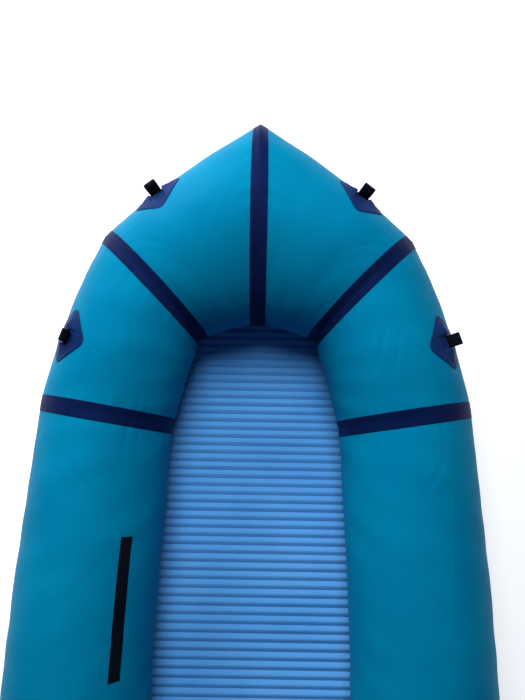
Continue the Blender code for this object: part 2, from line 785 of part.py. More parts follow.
def make_main_valve(materials):
    """Weld patch, boot, cap leash, body with its spider, spring-loaded plunger and hinged cap."""
    on_tube = main_valve_frame(TAPE_TOP)
    rim, hole = circle(VALVE_PATCH_RADIUS, VALVE_SEGMENTS), circle(VALVE_NECK_RADIUS + GAP, VALVE_SEGMENTS)
    under = main_valve_frame(GAP)
    patch = skin_patch("valve_patch", quarter_panel, under, rim, GAP, TAPE_THICKNESS, PORT, hole)
    add_object("valve_patch", patch, materials["patch_fabric"])
    make_valve_boot(on_tube, OVER_TAPE, materials["tube_fabric"])
    leash = add_object("valve_cap_leash", leash_mesh(), materials["valve_plastic"], SMOOTH_BELOW)
    leash.matrix_world = on_tube @ Matrix.Translation((0, 0, VALVE_BOOT_HEIGHT + GAP))
    at_rim = on_tube @ Matrix.Translation((0, 0, seat_height()))
    body = add_object("valve_body", valve_body_mesh(), materials["valve_plastic"], SMOOTH_BELOW)
    body.matrix_world = at_rim
    plunger = add_object("valve_plunger", plunger_mesh(), materials["valve_plastic"], SMOOTH_BELOW)
    plunger.matrix_world = at_rim
    make_valve_spring(at_rim, materials["spring_steel"])
    cap = add_object("valve_cap", cap_mesh(), materials["valve_plastic"], SMOOTH_BELOW)
    cap.matrix_world = at_rim @ Matrix.Translation((CAP_RADIUS + CAP_HINGE_REACH, 0, 0))


def seat_height():
    """How far the valve's rim sits over the patch: on the leash's ring, which lies on the boot."""
    return VALVE_BOOT_HEIGHT + LEASH_THICKNESS + 2 * GAP


def make_valve_boot(on_tube, clear_of, material):
    """The flexible collar that carries the valve: flat on top, and cut to the tube's facets below."""
    foot = -VALVE_BOOT_RADIUS / 2
    profile = [
        (VALVE_NECK_RADIUS + GAP, foot), (VALVE_BOOT_RADIUS, foot),
        (VALVE_BOOT_RADIUS, VALVE_BOOT_HEIGHT / 4), (VALVE_RIM_RADIUS + VALVE_LIP, VALVE_BOOT_HEIGHT),
        (VALVE_NECK_RADIUS + GAP, VALVE_BOOT_HEIGHT),
    ]
    collar = placed(turned("valve_boot", profile, VALVE_SEGMENTS), on_tube)
    tube = plug("tube_below", quarter_panel.rings(clear_of, PORT))
    add_object("valve_boot", combined(collar, "DIFFERENCE", tube), material, SMOOTH_BELOW)


def leash_mesh():
    """The ring held under the valve's rim, with the tab that reaches out to the cap's fold line."""
    bore = VALVE_NECK_RADIUS + GAP
    top = LEASH_THICKNESS
    section = [(bore, 0), (LEASH_RADIUS, 0), (LEASH_RADIUS, top), (bore, top)]
    ring = turned("leash", section, VALVE_SEGMENTS)
    half = CAP_HINGE_WIDTH / 2
    inner, outer = LEASH_RADIUS - CAP_WALL, CAP_RADIUS + CAP_HINGE_REACH - GAP
    tab = prism([(inner, -half), (outer, -half), (outer, half), (inner, half)], 0, top)
    return combined(ring, "UNION", tab)


def neck_foot():
    return -seat_height() - VALVE_NECK_DEPTH


def valve_body_mesh():
    """Rim on the boot, neck down into the tube, and the spider across the neck that guides the plunger."""
    bore = VALVE_NECK_RADIUS - VALVE_WALL
    profile = [
        (bore, neck_foot()), (VALVE_NECK_RADIUS, neck_foot()), (VALVE_NECK_RADIUS, 0),
        (VALVE_RIM_RADIUS, 0), (VALVE_RIM_RADIUS, VALVE_RIM_HEIGHT), (bore, VALVE_RIM_HEIGHT),
    ]
    body = turned("valve_body", profile, VALVE_SEGMENTS)
    low, high = -SPIDER_DEPTH, SPIDER_THICKNESS - SPIDER_DEPTH
    spider = prism(circle(SPIDER_HUB_RADIUS, SPIDER_HUB_SEGMENTS), low, high)
    half = SPIDER_HUB_RADIUS / 3
    reach = bore + VALVE_WALL / 2
    for turn in (0, pi / 2):
        arm = prism([(-reach, -half), (reach, -half), (reach, half), (-reach, half)], low, high)
        spider = combined(spider, "UNION", placed(arm, Matrix.Rotation(turn, 4, "Z")))
    body = combined(body, "UNION", spider)
    clear = SPIDER_DEPTH + SPIDER_THICKNESS
    hole = prism(circle(PLUNGER_STEM_RADIUS + GAP, SPIDER_HUB_SEGMENTS), -clear, clear)
    return combined(body, "DIFFERENCE", hole)


def plunger_mesh():
    """Stem with a button on top and the sealing disc under the neck's foot."""
    foot = neck_foot() - GAP
    top = button_top()
    profile = [
        (0, foot - PLUNGER_DISC_THICKNESS), (VALVE_NECK_RADIUS, foot - PLUNGER_DISC_THICKNESS),
        (VALVE_NECK_RADIUS, foot), (PLUNGER_STEM_RADIUS, foot),
        (PLUNGER_STEM_RADIUS, top - PLUNGER_BUTTON_HEIGHT),
        (PLUNGER_BUTTON_RADIUS, top - PLUNGER_BUTTON_HEIGHT), (PLUNGER_BUTTON_RADIUS, top), (0, top),
    ]
    return turned("valve_plunger", profile, VALVE_SEGMENTS)


def button_top():
    return VALVE_RIM_HEIGHT - GAP


def make_valve_spring(frame, material):
    """A round-wire spring from the spider up to the plunger's button."""
    low = SPIDER_THICKNESS - SPIDER_DEPTH + SPRING_WIRE_RADIUS + GAP
    high = button_top() - PLUNGER_BUTTON_HEIGHT - SPRING_WIRE_RADIUS - GAP
    steps = SPRING_TURNS * SPRING_STEPS
    data = bpy.data.curves.new("valve_spring", "CURVE")
    data.dimensions = "3D"
    data.bevel_depth = SPRING_WIRE_RADIUS
    data.bevel_resolution = 1
    data.use_fill_caps = True
    spline = data.splines.new("POLY")
    spline.points.add(steps)
    for i, point in enumerate(spline.points):
        turn = 2 * pi * SPRING_TURNS * i / steps
        height = low + (high - low) * i / steps
        point.co = (SPRING_RADIUS * cos(turn), SPRING_RADIUS * sin(turn), height, 1)
    data.materials.append(material)
    spring = bpy.data.objects.new("valve_spring", data)
    bpy.context.scene.collection.objects.link(spring)
    spring.matrix_world = frame
    coils = [Vector(p.co[:3]) for p in spline.points]
    least = min((a - b).length for i, a in enumerate(coils) for b in coils[i + SPRING_STEPS // 2:])
    print("valve spring: least gap between its turns", round(least - 2 * SPRING_WIRE_RADIUS, 5))


def cap_mesh():
    """A domed cap over the valve's rim, with an ear out to its fold line. Its origin is on that line."""
    skirt = VALVE_RIM_RADIUS + GAP
    inside = VALVE_RIM_HEIGHT + GAP
    profile = [
        (0, inside), (skirt, inside), (skirt, GAP), (CAP_RADIUS, GAP),
        (CAP_RADIUS, CAP_HEIGHT - CAP_WALL), (CAP_RADIUS - CAP_WALL, CAP_HEIGHT), (0, CAP_HEIGHT),
    ]
    across = Matrix.Translation((-CAP_RADIUS - CAP_HINGE_REACH, 0, 0))
    dome = placed(turned("valve_cap", profile, VALVE_SEGMENTS), across)
    half = CAP_HINGE_WIDTH / 2
    inner = -CAP_HINGE_REACH - CAP_WALL / 2
    ear = prism([(inner, -half), (0, -half), (0, half), (inner, half)], GAP, GAP + LEASH_THICKNESS)
    return combined(dome, "UNION", ear)


def mouth_stem_mesh(foot):
    """Base disc and hollow stem of a mouth valve. Its foot goes down through the fabric."""
    profile = [
        (MOUTH_BORE_RADIUS, -foot), (MOUTH_STEM_RADIUS, -foot), (MOUTH_STEM_RADIUS, 0),
        (MOUTH_BASE_RADIUS, 0), (MOUTH_BASE_RADIUS, MOUTH_BASE_THICKNESS),
        (MOUTH_STEM_RADIUS, MOUTH_BASE_THICKNESS), (MOUTH_STEM_RADIUS, MOUTH_STEM_LENGTH),
        (MOUTH_BORE_RADIUS, MOUTH_STEM_LENGTH),
    ]
    return turned("mouth_stem", profile, MOUTH_SEGMENTS)


def mouth_tip_mesh():
    """The mouthpiece, which twists on the stem to open it, with flutes round it and a bore on top."""
    inside = MOUTH_STEM_RADIUS + GAP
    foot = MOUTH_STEM_LENGTH - MOUTH_TIP_LENGTH / 2
    roof = MOUTH_STEM_LENGTH + GAP
    shoulder_height = roof + MOUTH_TIP_WALL
    top = foot + MOUTH_TIP_LENGTH
    lip = MOUTH_TIP_BORE_RADIUS + MOUTH_TIP_WALL
    sides = 2 * MOUTH_GRIPS
    profile = [
        (MOUTH_TIP_BORE_RADIUS, roof, 0), (inside, roof, 0), (inside, foot, 0),
        (MOUTH_TIP_RADIUS, foot, MOUTH_GRIP_DEPTH), (MOUTH_TIP_RADIUS, roof, MOUTH_GRIP_DEPTH),
        (lip, shoulder_height, 0), (lip, top, 0), (MOUTH_TIP_BORE_RADIUS, top, 0),
    ]
    points, faces = [], []
    for radius, height, groove in profile:
        for k in range(sides):
            reach = radius - (groove if k % 2 else 0)
            turn = 2 * pi * k / sides
            points.append(Vector((reach * cos(turn), reach * sin(turn), height)))
    for i in range(len(profile)):
        low, high = i * sides, (i + 1) % len(profile) * sides
        for k in range(sides):
            n = (k + 1) % sides
            faces.append((low + k, low + n, high + n, high + k))
    return mesh_of("mouth_tip", points, faces)


def add_mouth_valve(name, frame, foot, materials):
    stem = add_object(f"{name}_valve_stem", mouth_stem_mesh(foot), materials["valve_plastic"], SMOOTH_BELOW)
    stem.matrix_world = frame
    tip = add_object(f"{name}_mouthpiece", mouth_tip_mesh(), materials["mouth_plastic"], SMOOTH_BELOW)
    tip.matrix_world = frame


def topoff_frame():
    footprint = MOUTH_BASE_RADIUS, MOUTH_BASE_RADIUS
    return seat_on_tube(side_panel, TOPOFF_SHARE, TOPOFF_ANGLE, GAP, PORT, footprint)


# Seat and backrest

class Cushion:
    """A welded air cushion in its own frame: X across, Y along its channels, Z out of its upper face."""

    def __init__(self, half_width, half_length, rise, drop):
        self.half_width = half_width
        self.half_length = half_length
        self.rise = rise
        self.drop = drop

    def point(self, u, v, height):
        """Point at shares u and v of the half sizes. The sides draw in, and the seam is at height 0."""
        across = 1 - CUSHION_PULL_SHARE * (1 - v * v) * u * u
        along = 1 - CUSHION_PULL_SHARE * (1 - u * u) * v * v
        swell = sqrt(max(0, (1 - abs(u) ** CUSHION_ROUNDNESS) * (1 - abs(v) ** CUSHION_ROUNDNESS)))
        groove = CHANNEL_SINK_SHARE * cos(pi * CUSHION_CHANNELS * (u + 1) / 2) ** 2
        lift = height * swell * (1 - groove)
        return Vector((u * self.half_width * across, v * self.half_length * along, lift))

    def mesh(self, name):
        columns = 4 * CUSHION_CHANNELS
        points, index = [], {}
        for layer, height in enumerate((self.rise, -self.drop)):
            for i in range(columns + 1):
                for j in range(CUSHION_ROWS + 1):
                    if layer and (i in (0, columns) or j in (0, CUSHION_ROWS)):
                        index[layer, i, j] = index[0, i, j]
                        continue
                    index[layer, i, j] = len(points)
                    u, v = 2 * i / columns - 1, sin(pi * (j / CUSHION_ROWS - 0.5))
                    points.append(self.point(u, v, height))
        faces = []
        for layer in (0, 1):
            for i in range(columns):
                for j in range(CUSHION_ROWS):
                    corners = (i, j), (i + 1, j), (i + 1, j + 1), (i, j + 1)
                    faces.append(tuple(index[layer, a, b] for a, b in corners))
        return mesh_of(name, points, faces)

    def valve_frame(self, shares, height):
        """Frame of a mouth valve sunk half its base into the face that rises to height."""
        u, v = shares
        step = GAP / self.half_width
        middle = self.point(u, v, height)
        across = self.point(u + step, v, height) - self.point(u - step, v, height)
        along = self.point(u, v + step, height) - self.point(u, v - step, height)
        normal = across.cross(along).normalized() * (1 if height > 0 else -1)
        return frame_at(middle - normal * MOUTH_BASE_THICKNESS / 2, across, normal)

    def with_pocket(self, name, frame, foot):
        """The cushion's mesh with a hole for a mouth valve's foot and a flat for its base."""
        narrow, wide = MOUTH_STEM_RADIUS + GAP, MOUTH_BASE_RADIUS + GAP
        profile = [(0, -foot - GAP), (narrow, -foot - GAP), (narrow, -GAP), (wide, -GAP),
                   (wide, MOUTH_STEM_LENGTH), (0, MOUTH_STEM_LENGTH)]
        pocket = placed(turned("pocket", profile, MOUTH_SEGMENTS), frame)
        return combined(self.mesh(name), "DIFFERENCE", pocket)


SEAT_DROP = SEAT_HEIGHT * SEAT_SEAM_SHARE
HALF_BACKREST = BACKREST_THICKNESS / 2
seat = Cushion(SEAT_HALF_WIDTH, SEAT_DEPTH / 2, SEAT_HEIGHT - SEAT_DROP, SEAT_DROP)
backrest = Cushion(BACKREST_HALF_WIDTH, BACKREST_LENGTH / 2, HALF_BACKREST, HALF_BACKREST)


def seat_middle():
    y = SEAT_FRONT_Y - SEAT_DEPTH / 2
    return Vector((0, y, mat_top(y) + GAP + seat.drop))


def backrest_pivot():
    """The line that the backrest folds about: the fabric hinge behind and over the seat's rear seam."""
    return seat_middle() + Vector((0, -SEAT_DEPTH / 2 - HINGE_STRIP_LENGTH, HINGE_STRIP_RISE))


def backrest_axes():
    """Up the backrest, and forward out of it."""
    lean = radians(BACKREST_LEAN)
    return Vector((0, -sin(lean), cos(lean))), Vector((0, cos(lean), sin(lean)))


def backrest_frame():
    """Frame at the backrest's middle: Y up the backrest, Z forward."""
    up, forward = backrest_axes()
    middle = backrest_pivot() + up * (HINGE_STRIP_LENGTH + BACKREST_LENGTH) / 2
    return frame_at(middle, up.cross(forward), forward)


def make_cushions(materials):
    foot = MOUTH_BASE_THICKNESS * 3
    seat_place = Matrix.Translation(seat_middle())
    seat_valve = seat.valve_frame(SEAT_VALVE_SHARES, seat.rise)
    mesh = seat.with_pocket("seat_cushion", seat_valve, foot)
    fabric = materials["cushion_fabric"]
    add_object("seat_cushion", mesh, fabric, CUSHION_SMOOTH_BELOW).matrix_world = seat_place
    add_mouth_valve("seat", seat_place @ seat_valve, foot, materials)
    back_valve = backrest.valve_frame(BACKREST_VALVE_SHARES, -backrest.drop)
    mesh = backrest.with_pocket("backrest_cushion", back_valve, foot)
    back = add_object("backrest_cushion", mesh, fabric, CUSHION_SMOOTH_BELOW)
    back.matrix_world = backrest_frame()
    add_mouth_valve("backrest", backrest_frame() @ back_valve, foot, materials)


def ribbon(name, stations, thickness):
    """A flat strip through (centre, width direction, normal) stations. A width direction's length is half
    of the strip's width."""
    rings = []
    for centre, half_width, normal in stations:
        face = normal.normalized() * thickness / 2
        rings.append([centre + half_width + face, centre - half_width + face,
                      centre - half_width - face, centre + half_width - face])
    return plug(name, rings)


def make_hinge_strip(material):
    """The fabric strip from the seat's rear seam to the backrest's lower seam, which is the hinge."""
    half_width = Vector((HINGE_STRIP_WIDTH / 2, 0, 0))
    up, forward = backrest_axes()
    seat_edge = seat.point(HINGE_STRIP_WIDTH / 2 / seat.half_width, -1, 0).y - GAP
    low = seat_middle() + Vector((0, seat_edge, 0))
    back_edge = backrest.point(HINGE_STRIP_WIDTH / 2 / backrest.half_width, -1, 0).y - GAP
    high = backrest_frame() @ Vector((0, back_edge, 0))
    first = (backrest_pivot() - low).normalized()
    low_normal = Vector((0, first.z, -first.y))
    stations = [(low, half_width, low_normal), (backrest_pivot(), half_width, low_normal + forward),
                (high, half_width, forward)]
    add_object("backrest_hinge_strip", ribbon("strip", stations, HINGE_STRIP_THICKNESS), material)


def anchor_frame(offset, side, footprint=(0, 0)):
    return seat_on_tube(side_panel, ANCHOR_SHARE, ANCHOR_ANGLE, offset, side, footprint)


class StrapRoute:
    """A backrest strap's route: sewn flat on its anchor patch, then straight to the backrest's seam."""

    def __init__(self, side):
        footprint = STRAP_SEWN_LENGTH / 2, STRAP_WIDTH / 2
        frame = anchor_frame(TAPE_TOP, side, footprint)
        turn = frame.to_3x3()
        along, width, self.normal = turn.col[0], turn.col[1], turn.col[2]
        if along.y > 0:
            along, width = -along, -width
        lift = self.normal * (GAP + WEBBING_THICKNESS / 2)
        middle = frame.to_translation() + lift
        self.sewn = middle - along * STRAP_SEWN_LENGTH / 2, middle + along * STRAP_SEWN_LENGTH / 2
        self.width = width
        v = 2 * STRAP_HEIGHT_SHARE - 1
        inner = v - STRAP_WIDTH / BACKREST_LENGTH, v + STRAP_WIDTH / BACKREST_LENGTH
        edge = max(backrest.point(1, each, 0).x for each in inner) + GAP
        rim = backrest_frame() @ Vector((edge, v * backrest.half_length, 0))
        self.rim = Vector((abs(rim.x) * side, rim.y, rim.z))
        self.up = backrest_axes()[0]
        self.leave = self.sewn[1] + along * STRAP_BEND_LENGTH
        self.arrive = self.rim + Vector((side * STRAP_BEND_LENGTH, 0, 0))
        self.way = (self.arrive - self.leave).normalized()
        self.start = self.leave + self.way * STRAP_BEND_LENGTH
        self.end = self.arrive - self.way * STRAP_BEND_LENGTH

    def square_to(self, tangent, width):
        """Half width and normal of the strap along tangent, with its width nearest to width."""
        width = (width - tangent * width.dot(tangent)).normalized()
        if width.z < 0:
            width = -width
        return width * STRAP_WIDTH / 2, width.cross(tangent)

    def stations(self):
        flat = self.square_to(self.way, self.width)
        route = [(self.sewn[0], self.sewn[1] - self.sewn[0], self.width)]
        for k in range(STRAP_STEPS + 1):
            point, tangent = quadratic(self.sewn[1], self.leave, self.start, k / STRAP_STEPS)
            route.append((point, tangent, self.width))
        free = self.start + self.way * (SLIDER_START + SLIDER_LENGTH + SLIDER_TRAVEL)
        for k in range(STRAP_STEPS + 1):
            share = k / STRAP_STEPS
            turned_width = flat[0].normalized().lerp(self.up, share)
            route.append((free.lerp(self.end, share), self.way, turned_width))
        for k in range(1, STRAP_STEPS + 1):
            point, tangent = quadratic(self.end, self.arrive, self.rim, k / STRAP_STEPS)
            route.append((point, tangent, self.up))
        return [(point, *self.square_to(tangent.normalized(), width)) for point, tangent, width in route]

    def slider_frame(self):
        """Frame of the slider at rest: X along the strap towards the backrest, Z out of its face."""
        normal = self.square_to(self.way, self.width)[1]
        middle = self.start + self.way * (SLIDER_START + SLIDER_LENGTH / 2)
        return frame_at(middle, self.way, normal)


def quadratic(a, b, c, share):
    """Point and direction at a share of the curve from a to c that is drawn towards b."""
    point = a.lerp(b, share).lerp(b.lerp(c, share), share)
    return point, (b - a).lerp(c - b, share)


def make_straps(materials):
    half_length, half_width = ANCHOR_HALF_LENGTH, ANCHOR_HALF_WIDTH
    corners = [(half_length, half_width), (-half_length, half_width), (-half_length, -half_width),
               (half_length, -half_width)]
    outline = rounded(corners, ANCHOR_CORNER_RADIUS, PATCH_CORNER_STEPS)
    for side in (STARBOARD, PORT):
        name = f"strap_anchor_patch_{SIDE_NAMES[side]}"
        base = anchor_frame(GAP, side)
        mesh = skin_patch(name, side_panel, base, outline, GAP, TAPE_THICKNESS, side)
        add_object(name, mesh, materials["patch_fabric"])
        route = StrapRoute(side)
        name = f"backrest_strap_{SIDE_NAMES[side]}"
        strap = ribbon(name, route.stations(), WEBBING_THICKNESS)
        add_object(name, strap, materials["webbing"], SMOOTH_BELOW)
        slot = slider_outline(STRAP_WIDTH / 2 + GAP, WEBBING_THICKNESS / 2 + GAP)
        body = slider_outline(STRAP_WIDTH / 2 + SLIDER_WALL, WEBBING_THICKNESS / 2 + SLIDER_WALL)
        name = f"strap_slider_{SIDE_NAMES[side]}"
        frame_bar = band(name, body, slot, SLIDER_LENGTH)
        slider = add_object(name, frame_bar, materials["valve_plastic"], SMOOTH_BELOW)
        slider.matrix_world = route.slider_frame()


def slider_outline(half_width, half_height):
    """A box section with its corners cut off."""
    cut = half_height / 2
    return [
        (half_width, half_height - cut), (half_width - cut, half_height), (cut - half_width, half_height),
        (-half_width, half_height - cut), (-half_width, cut - half_height),
        (cut - half_width, -half_height), (half_width - cut, -half_height), (half_width, cut - half_height),
    ]


def clear_scene():
    for piece in list(bpy.data.objects):
        bpy.data.objects.remove(piece)


def main():
    clear_scene()
    materials = {name: make_material(name) for name in COLOURS}
    make_tube(materials["tube_fabric"])
    make_seam_tapes(materials["tape_fabric"])
    make_floor(materials["floor_fabric"])
    make_floor_tapes(materials["tape_fabric"])
    make_mat(materials["mat_foam"])
    make_tie_downs(materials["patch_fabric"], materials["webbing"])
    make_main_valve(materials)
    add_mouth_valve("topoff", topoff_frame(), TUBE_FABRIC + MOUTH_BASE_THICKNESS, materials)
    make_cushions(materials)
    make_hinge_strip(materials["cushion_fabric"])
    make_straps(materials)


main()
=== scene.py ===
import json
from math import asin, cos, exp, hypot, pi, radians, sin
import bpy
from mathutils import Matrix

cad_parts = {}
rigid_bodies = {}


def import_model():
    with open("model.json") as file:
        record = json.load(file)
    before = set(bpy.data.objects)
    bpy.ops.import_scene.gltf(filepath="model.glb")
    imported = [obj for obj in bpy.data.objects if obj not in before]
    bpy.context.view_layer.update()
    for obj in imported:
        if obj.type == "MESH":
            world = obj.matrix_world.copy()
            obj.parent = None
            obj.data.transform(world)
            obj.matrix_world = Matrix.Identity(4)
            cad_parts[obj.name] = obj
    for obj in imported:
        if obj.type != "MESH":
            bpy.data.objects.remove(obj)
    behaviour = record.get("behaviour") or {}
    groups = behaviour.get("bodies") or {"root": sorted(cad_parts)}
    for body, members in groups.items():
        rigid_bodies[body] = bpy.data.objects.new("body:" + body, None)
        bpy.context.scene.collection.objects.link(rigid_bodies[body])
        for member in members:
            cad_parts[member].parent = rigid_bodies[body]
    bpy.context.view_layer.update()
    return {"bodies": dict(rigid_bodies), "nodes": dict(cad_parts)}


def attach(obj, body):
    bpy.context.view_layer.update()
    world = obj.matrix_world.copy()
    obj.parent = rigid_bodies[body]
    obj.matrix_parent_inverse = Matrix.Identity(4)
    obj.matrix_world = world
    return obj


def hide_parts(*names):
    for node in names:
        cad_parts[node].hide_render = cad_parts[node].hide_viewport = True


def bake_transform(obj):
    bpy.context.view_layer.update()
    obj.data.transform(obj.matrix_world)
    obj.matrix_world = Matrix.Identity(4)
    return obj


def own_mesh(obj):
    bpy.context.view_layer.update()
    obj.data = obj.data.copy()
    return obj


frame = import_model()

from types import SimpleNamespace

import bpy
import numpy as np
from mathutils import Matrix, Vector
from mathutils.bvhtree import BVHTree
from numpy.linalg import norm

# Hull form, bow to stern on the starboard side. A station is a seam plane across the tube:
# x, y, rise off the ground, heading, half width, half height, cant
tubeRadius = 0.140
shoulderMitre, quarterMitre = radians(21.2), radians(22.9)
stationTable = {
    "bow": (0, 0.8850, 0.065, 90, 0.210, 0.148, 20),
    "shoulder": (0.234, 0.754, 0.027, 45, tubeRadius / cos(shoulderMitre), tubeRadius, 7),
    "front": (0.321, 0.474, 0.003, 9, tubeRadius, tubeRadius, 0),
    "midFront": (0.340, 0.060, 0, 0, tubeRadius, tubeRadius, 0),
    "midRear": (0.340, -0.240, 0, 0, tubeRadius, tubeRadius, 0),
    "rear": (0.328, -0.545, 0.003, -9, tubeRadius, tubeRadius, 0),
    "quarter": (0.226, -0.800, 0.012, -48, tubeRadius / cos(quarterMitre), tubeRadius, 0),
    "stern": (0, -0.9196, 0.020, -90, 0.168, 0.145, 8),
}
panelTable = {      # stations, and how far the panel bulges on the outside of its bend
    "bow": (("bow", "shoulder"), 0.013),
    "shoulder": (("shoulder", "front"), 0.013),
    "side": (("front", "midFront", "midRear", "rear"), 0.004),
    "quarter": (("rear", "quarter"), 0.010),
    "stern": (("quarter", "stern"), 0.010),
}
sides = {"Right": 1, "Left": -1}
gap = 0.0003                    # air between layers that lie on each other
skin = {
    "fabric": 0.0008,
    "tapeWidth": 0.034,
    "tape": 0.0006,
    "columns": 216,             # round the tube
    "nearStep": 0.0038,         # rows along a panel, near its seams
    "farStep": 0.0085,
    "nearReach": 0.060,
    "ground": 0.0002,
    "floorRoom": 0.0016,        # for the floor sheet under the tube
}
# Puckers run out from a seam: waves round the tube that grow past clear and fade past start
puckers = {"cycles": (17, 23, 31, 37, 44), "slant": 18, "height": 0.00085, "blend": 2.4, "least": 0.45,
           "start": 0.018, "reach": 0.026, "clear": 0.020, "seed": 70}
# Swells are the slow unevenness of the blown-up fabric: waves round and along
swells = {"waves": ((2, 1.3), (3, 2.1), (5, 1.1), (7, 2.7), (4, 3.9)), "per": 0.28, "height": 0.00055,
          "clear": 0.04}
# Creases in the fabric: share and angle of both ends, depth, half width
creases = {
    "shoulder": [(0.30, 92, 0.62, 116, 0.0016, 0.005), (0.42, 84, 0.70, 104, 0.0011, 0.004),
                 (0.16, 30, 0.30, 8, 0.0012, 0.004), (0.60, 62, 0.80, 40, 0.0010, 0.004)],
    "bow": [(0.28, 60, 0.52, 92, 0.0010, 0.005), (0.70, 84, 0.86, 66, 0.0010, 0.004)],
    "side": [(0.06, 70, 0.16, 100, 0.0009, 0.005), (0.92, 84, 0.80, 112, 0.0009, 0.005)],
    "quarter": [(0.30, 108, 0.62, 128, 0.0012, 0.005), (0.70, 50, 0.86, 74, 0.0009, 0.004)],
    "stern": [(0.22, 72, 0.48, 100, 0.0010, 0.005)],
}
creaseShape = {"bow": 0.006, "lip": 0.6, "lipAt": 2.2, "lipWidth": 1.6}
footShare = cos(pi / 24)        # of the tube's half height, down to its flat foot


def unit(v):
    return v / norm(v, axis=-1, keepdims=True)


def smoothRise(x):
    x = np.clip(x, 0, 1)
    return x * x * (3 - 2 * x)


def makeStation(x, y, rise, heading, halfWidth, halfHeight, cant):
    turn, lean = radians(heading), radians(cant)
    outward, up = np.array([cos(turn), sin(turn), 0]), np.array([0, 0, 1.0])
    return {"across": outward * cos(lean) + up * sin(lean), "tall": up * cos(lean) - outward * sin(lean),
            "size": (halfWidth, halfHeight), "centre": np.array([x, y, halfHeight * footShare + rise])}


def makePanel(name):
    names, bulge = panelTable[name]
    stations = [makeStation(*stationTable[n]) for n in names]
    runs = [norm(b["centre"] - a["centre"]) for a, b in zip(stations, stations[1:])]
    length = sum(runs)
    return {"name": name, "stations": stations, "bulge": bulge, "length": length,
            "knots": np.array([sum(runs[:i]) / length for i in range(len(stations))]),
            "seed": puckers["seed"] + list(panelTable).index(name)}


def between(values, knots, here, share):
    # smooth course through the stations; straight where a panel has only two
    def take(table, index):
        return np.take_along_axis(table, index[None, ..., None], 0)[0]
    first, second = take(values, here), take(values, here + 1)
    wide = (knots[here + 1] - knots[here])[..., None]
    t = (share - knots[here])[..., None] / wide
    if len(knots) == 2:
        return first * (1 - t) + second * t
    near = [(max(j - 1, 0), min(j + 1, len(knots) - 1)) for j in range(len(knots))]
    slopes = np.stack([(values[b] - values[a]) / (knots[b] - knots[a]) for a, b in near])
    return ((2 * t**3 - 3 * t**2 + 1) * first + (t**3 - 2 * t**2 + t) * wide * take(slopes, here)
            + (3 * t**2 - 2 * t**3) * second + (t**3 - t**2) * wide * take(slopes, here + 1))


def ripple(panel, share, angle):
    # height of the fabric's own unevenness: puckers at the seams, slow swells, a few creases
    rng = np.random.default_rng(panel["seed"])
    total = np.zeros(share.shape)
    ends = (share * panel["length"], (1 - share) * panel["length"])
    for away in ends:
        wave = sum(np.sin(cycles * angle + rng.uniform(0, 2 * pi) + puckers["slant"] * away)
                   for cycles in puckers["cycles"])
        sway = np.sin(3 * angle + rng.uniform(0, 6)) * np.sin(5 * angle + rng.uniform(0, 6))
        strength = puckers["least"] + (1 - puckers["least"]) * sway
        fade = np.exp(-np.maximum(0, away - puckers["start"]) / puckers["reach"])
        fade *= smoothRise(away / puckers["clear"])
        total += puckers["height"] * wave / puckers["blend"] * strength * fade
    slow = np.zeros(share.shape)
    for around, along in swells["waves"]:
        along *= panel["length"] / swells["per"]
        slow += np.sin(around * angle + 2 * pi * along * share + rng.uniform(0, 2 * pi))
    total += swells["height"] * slow / 2 * smoothRise(np.minimum(*ends) / swells["clear"])
    u, v = angle * tubeRadius, share * panel["length"]
    for s0, a0, s1, a1, depth, halfWidth in creases[panel["name"]]:
        start = np.array([radians(a0) * tubeRadius, s0 * panel["length"]])
        way = np.array([radians(a1) * tubeRadius, s1 * panel["length"]]) - start
        inside = np.clip(((u - start[0]) * way[0] + (v - start[1]) * way[1]) / (way @ way), 0, 1)
        hump = np.sin(pi * inside)
        bow, lip, lipAt, lipWidth = creaseShape.values()
        off = np.hypot(u - start[0] - way[0] * inside + bow * hump, v - start[1] - way[1] * inside)
        total -= depth * np.exp(-(off / halfWidth) ** 2) * hump ** 0.7
        total += depth * lip * np.exp(-((off - lipAt * halfWidth) / (lipWidth * halfWidth)) ** 2) * hump
    return total


def onPanel(panel, share, angle, offset=0.0, side=1):
    # points of the tube's face at shares along and angles round, and the face's outward normals
    share, angle, offset = np.broadcast_arrays(np.asarray(share, float), np.asarray(angle, float), offset)
    knots = panel["knots"]
    here = np.clip(np.searchsorted(knots, share, side="right") - 1, 0, len(knots) - 2)
    c, s = np.cos(angle)[..., None], np.sin(angle)[..., None]
    points, leans = [], []
    for station in panel["stations"]:
        wide, tall = station["size"]
        points.append(station["centre"] + station["across"] * wide * c + station["tall"] * tall * s)
        leans.append(unit(station["across"] * c / wide + station["tall"] * s / tall))
    normal = unit(between(np.stack(leans), knots, here, share))
    aboveFoot = np.maximum(0, 1 + np.minimum(0, np.sin(angle)) / footShare)
    swell = panel["bulge"] * 4 * share * (1 - share) * (0.5 + 0.5 * np.cos(angle)) * aboveFoot
    height = offset + swell + ripple(panel, share, angle)
    out = between(np.stack(points), knots, here, share) + normal * height[..., None]
    out[..., 2] = np.maximum(out[..., 2], skin["ground"] + skin["floorRoom"] + np.minimum(0, -offset))
    return out * (side, 1, 1), normal * (side, 1, 1)


panels = {name: makePanel(name) for name in panelTable}


def face(name, share, angle, side=1, offset=0.0):
    return onPanel(panels[name], share, angle, offset, side)[0]


# Meshes

def meshOf(name, points, edges=(), faces=()):
    mesh = bpy.data.meshes.new(name)
    mesh.from_pydata(points, edges, faces)
    return mesh


def allRound(count):
    return np.linspace(0, 2 * pi, count, endpoint=False)


def uvGrid(across, along):
    return np.stack(np.broadcast_arrays(across, along), -1)


def moved(points, place):
    place = np.array(place)
    return np.asarray(points) @ place[:3, :3].T + place[:3, 3]


def linked(name, data):
    thing = bpy.data.objects.new(name, data)
    bpy.context.scene.collection.objects.link(thing)
    return thing


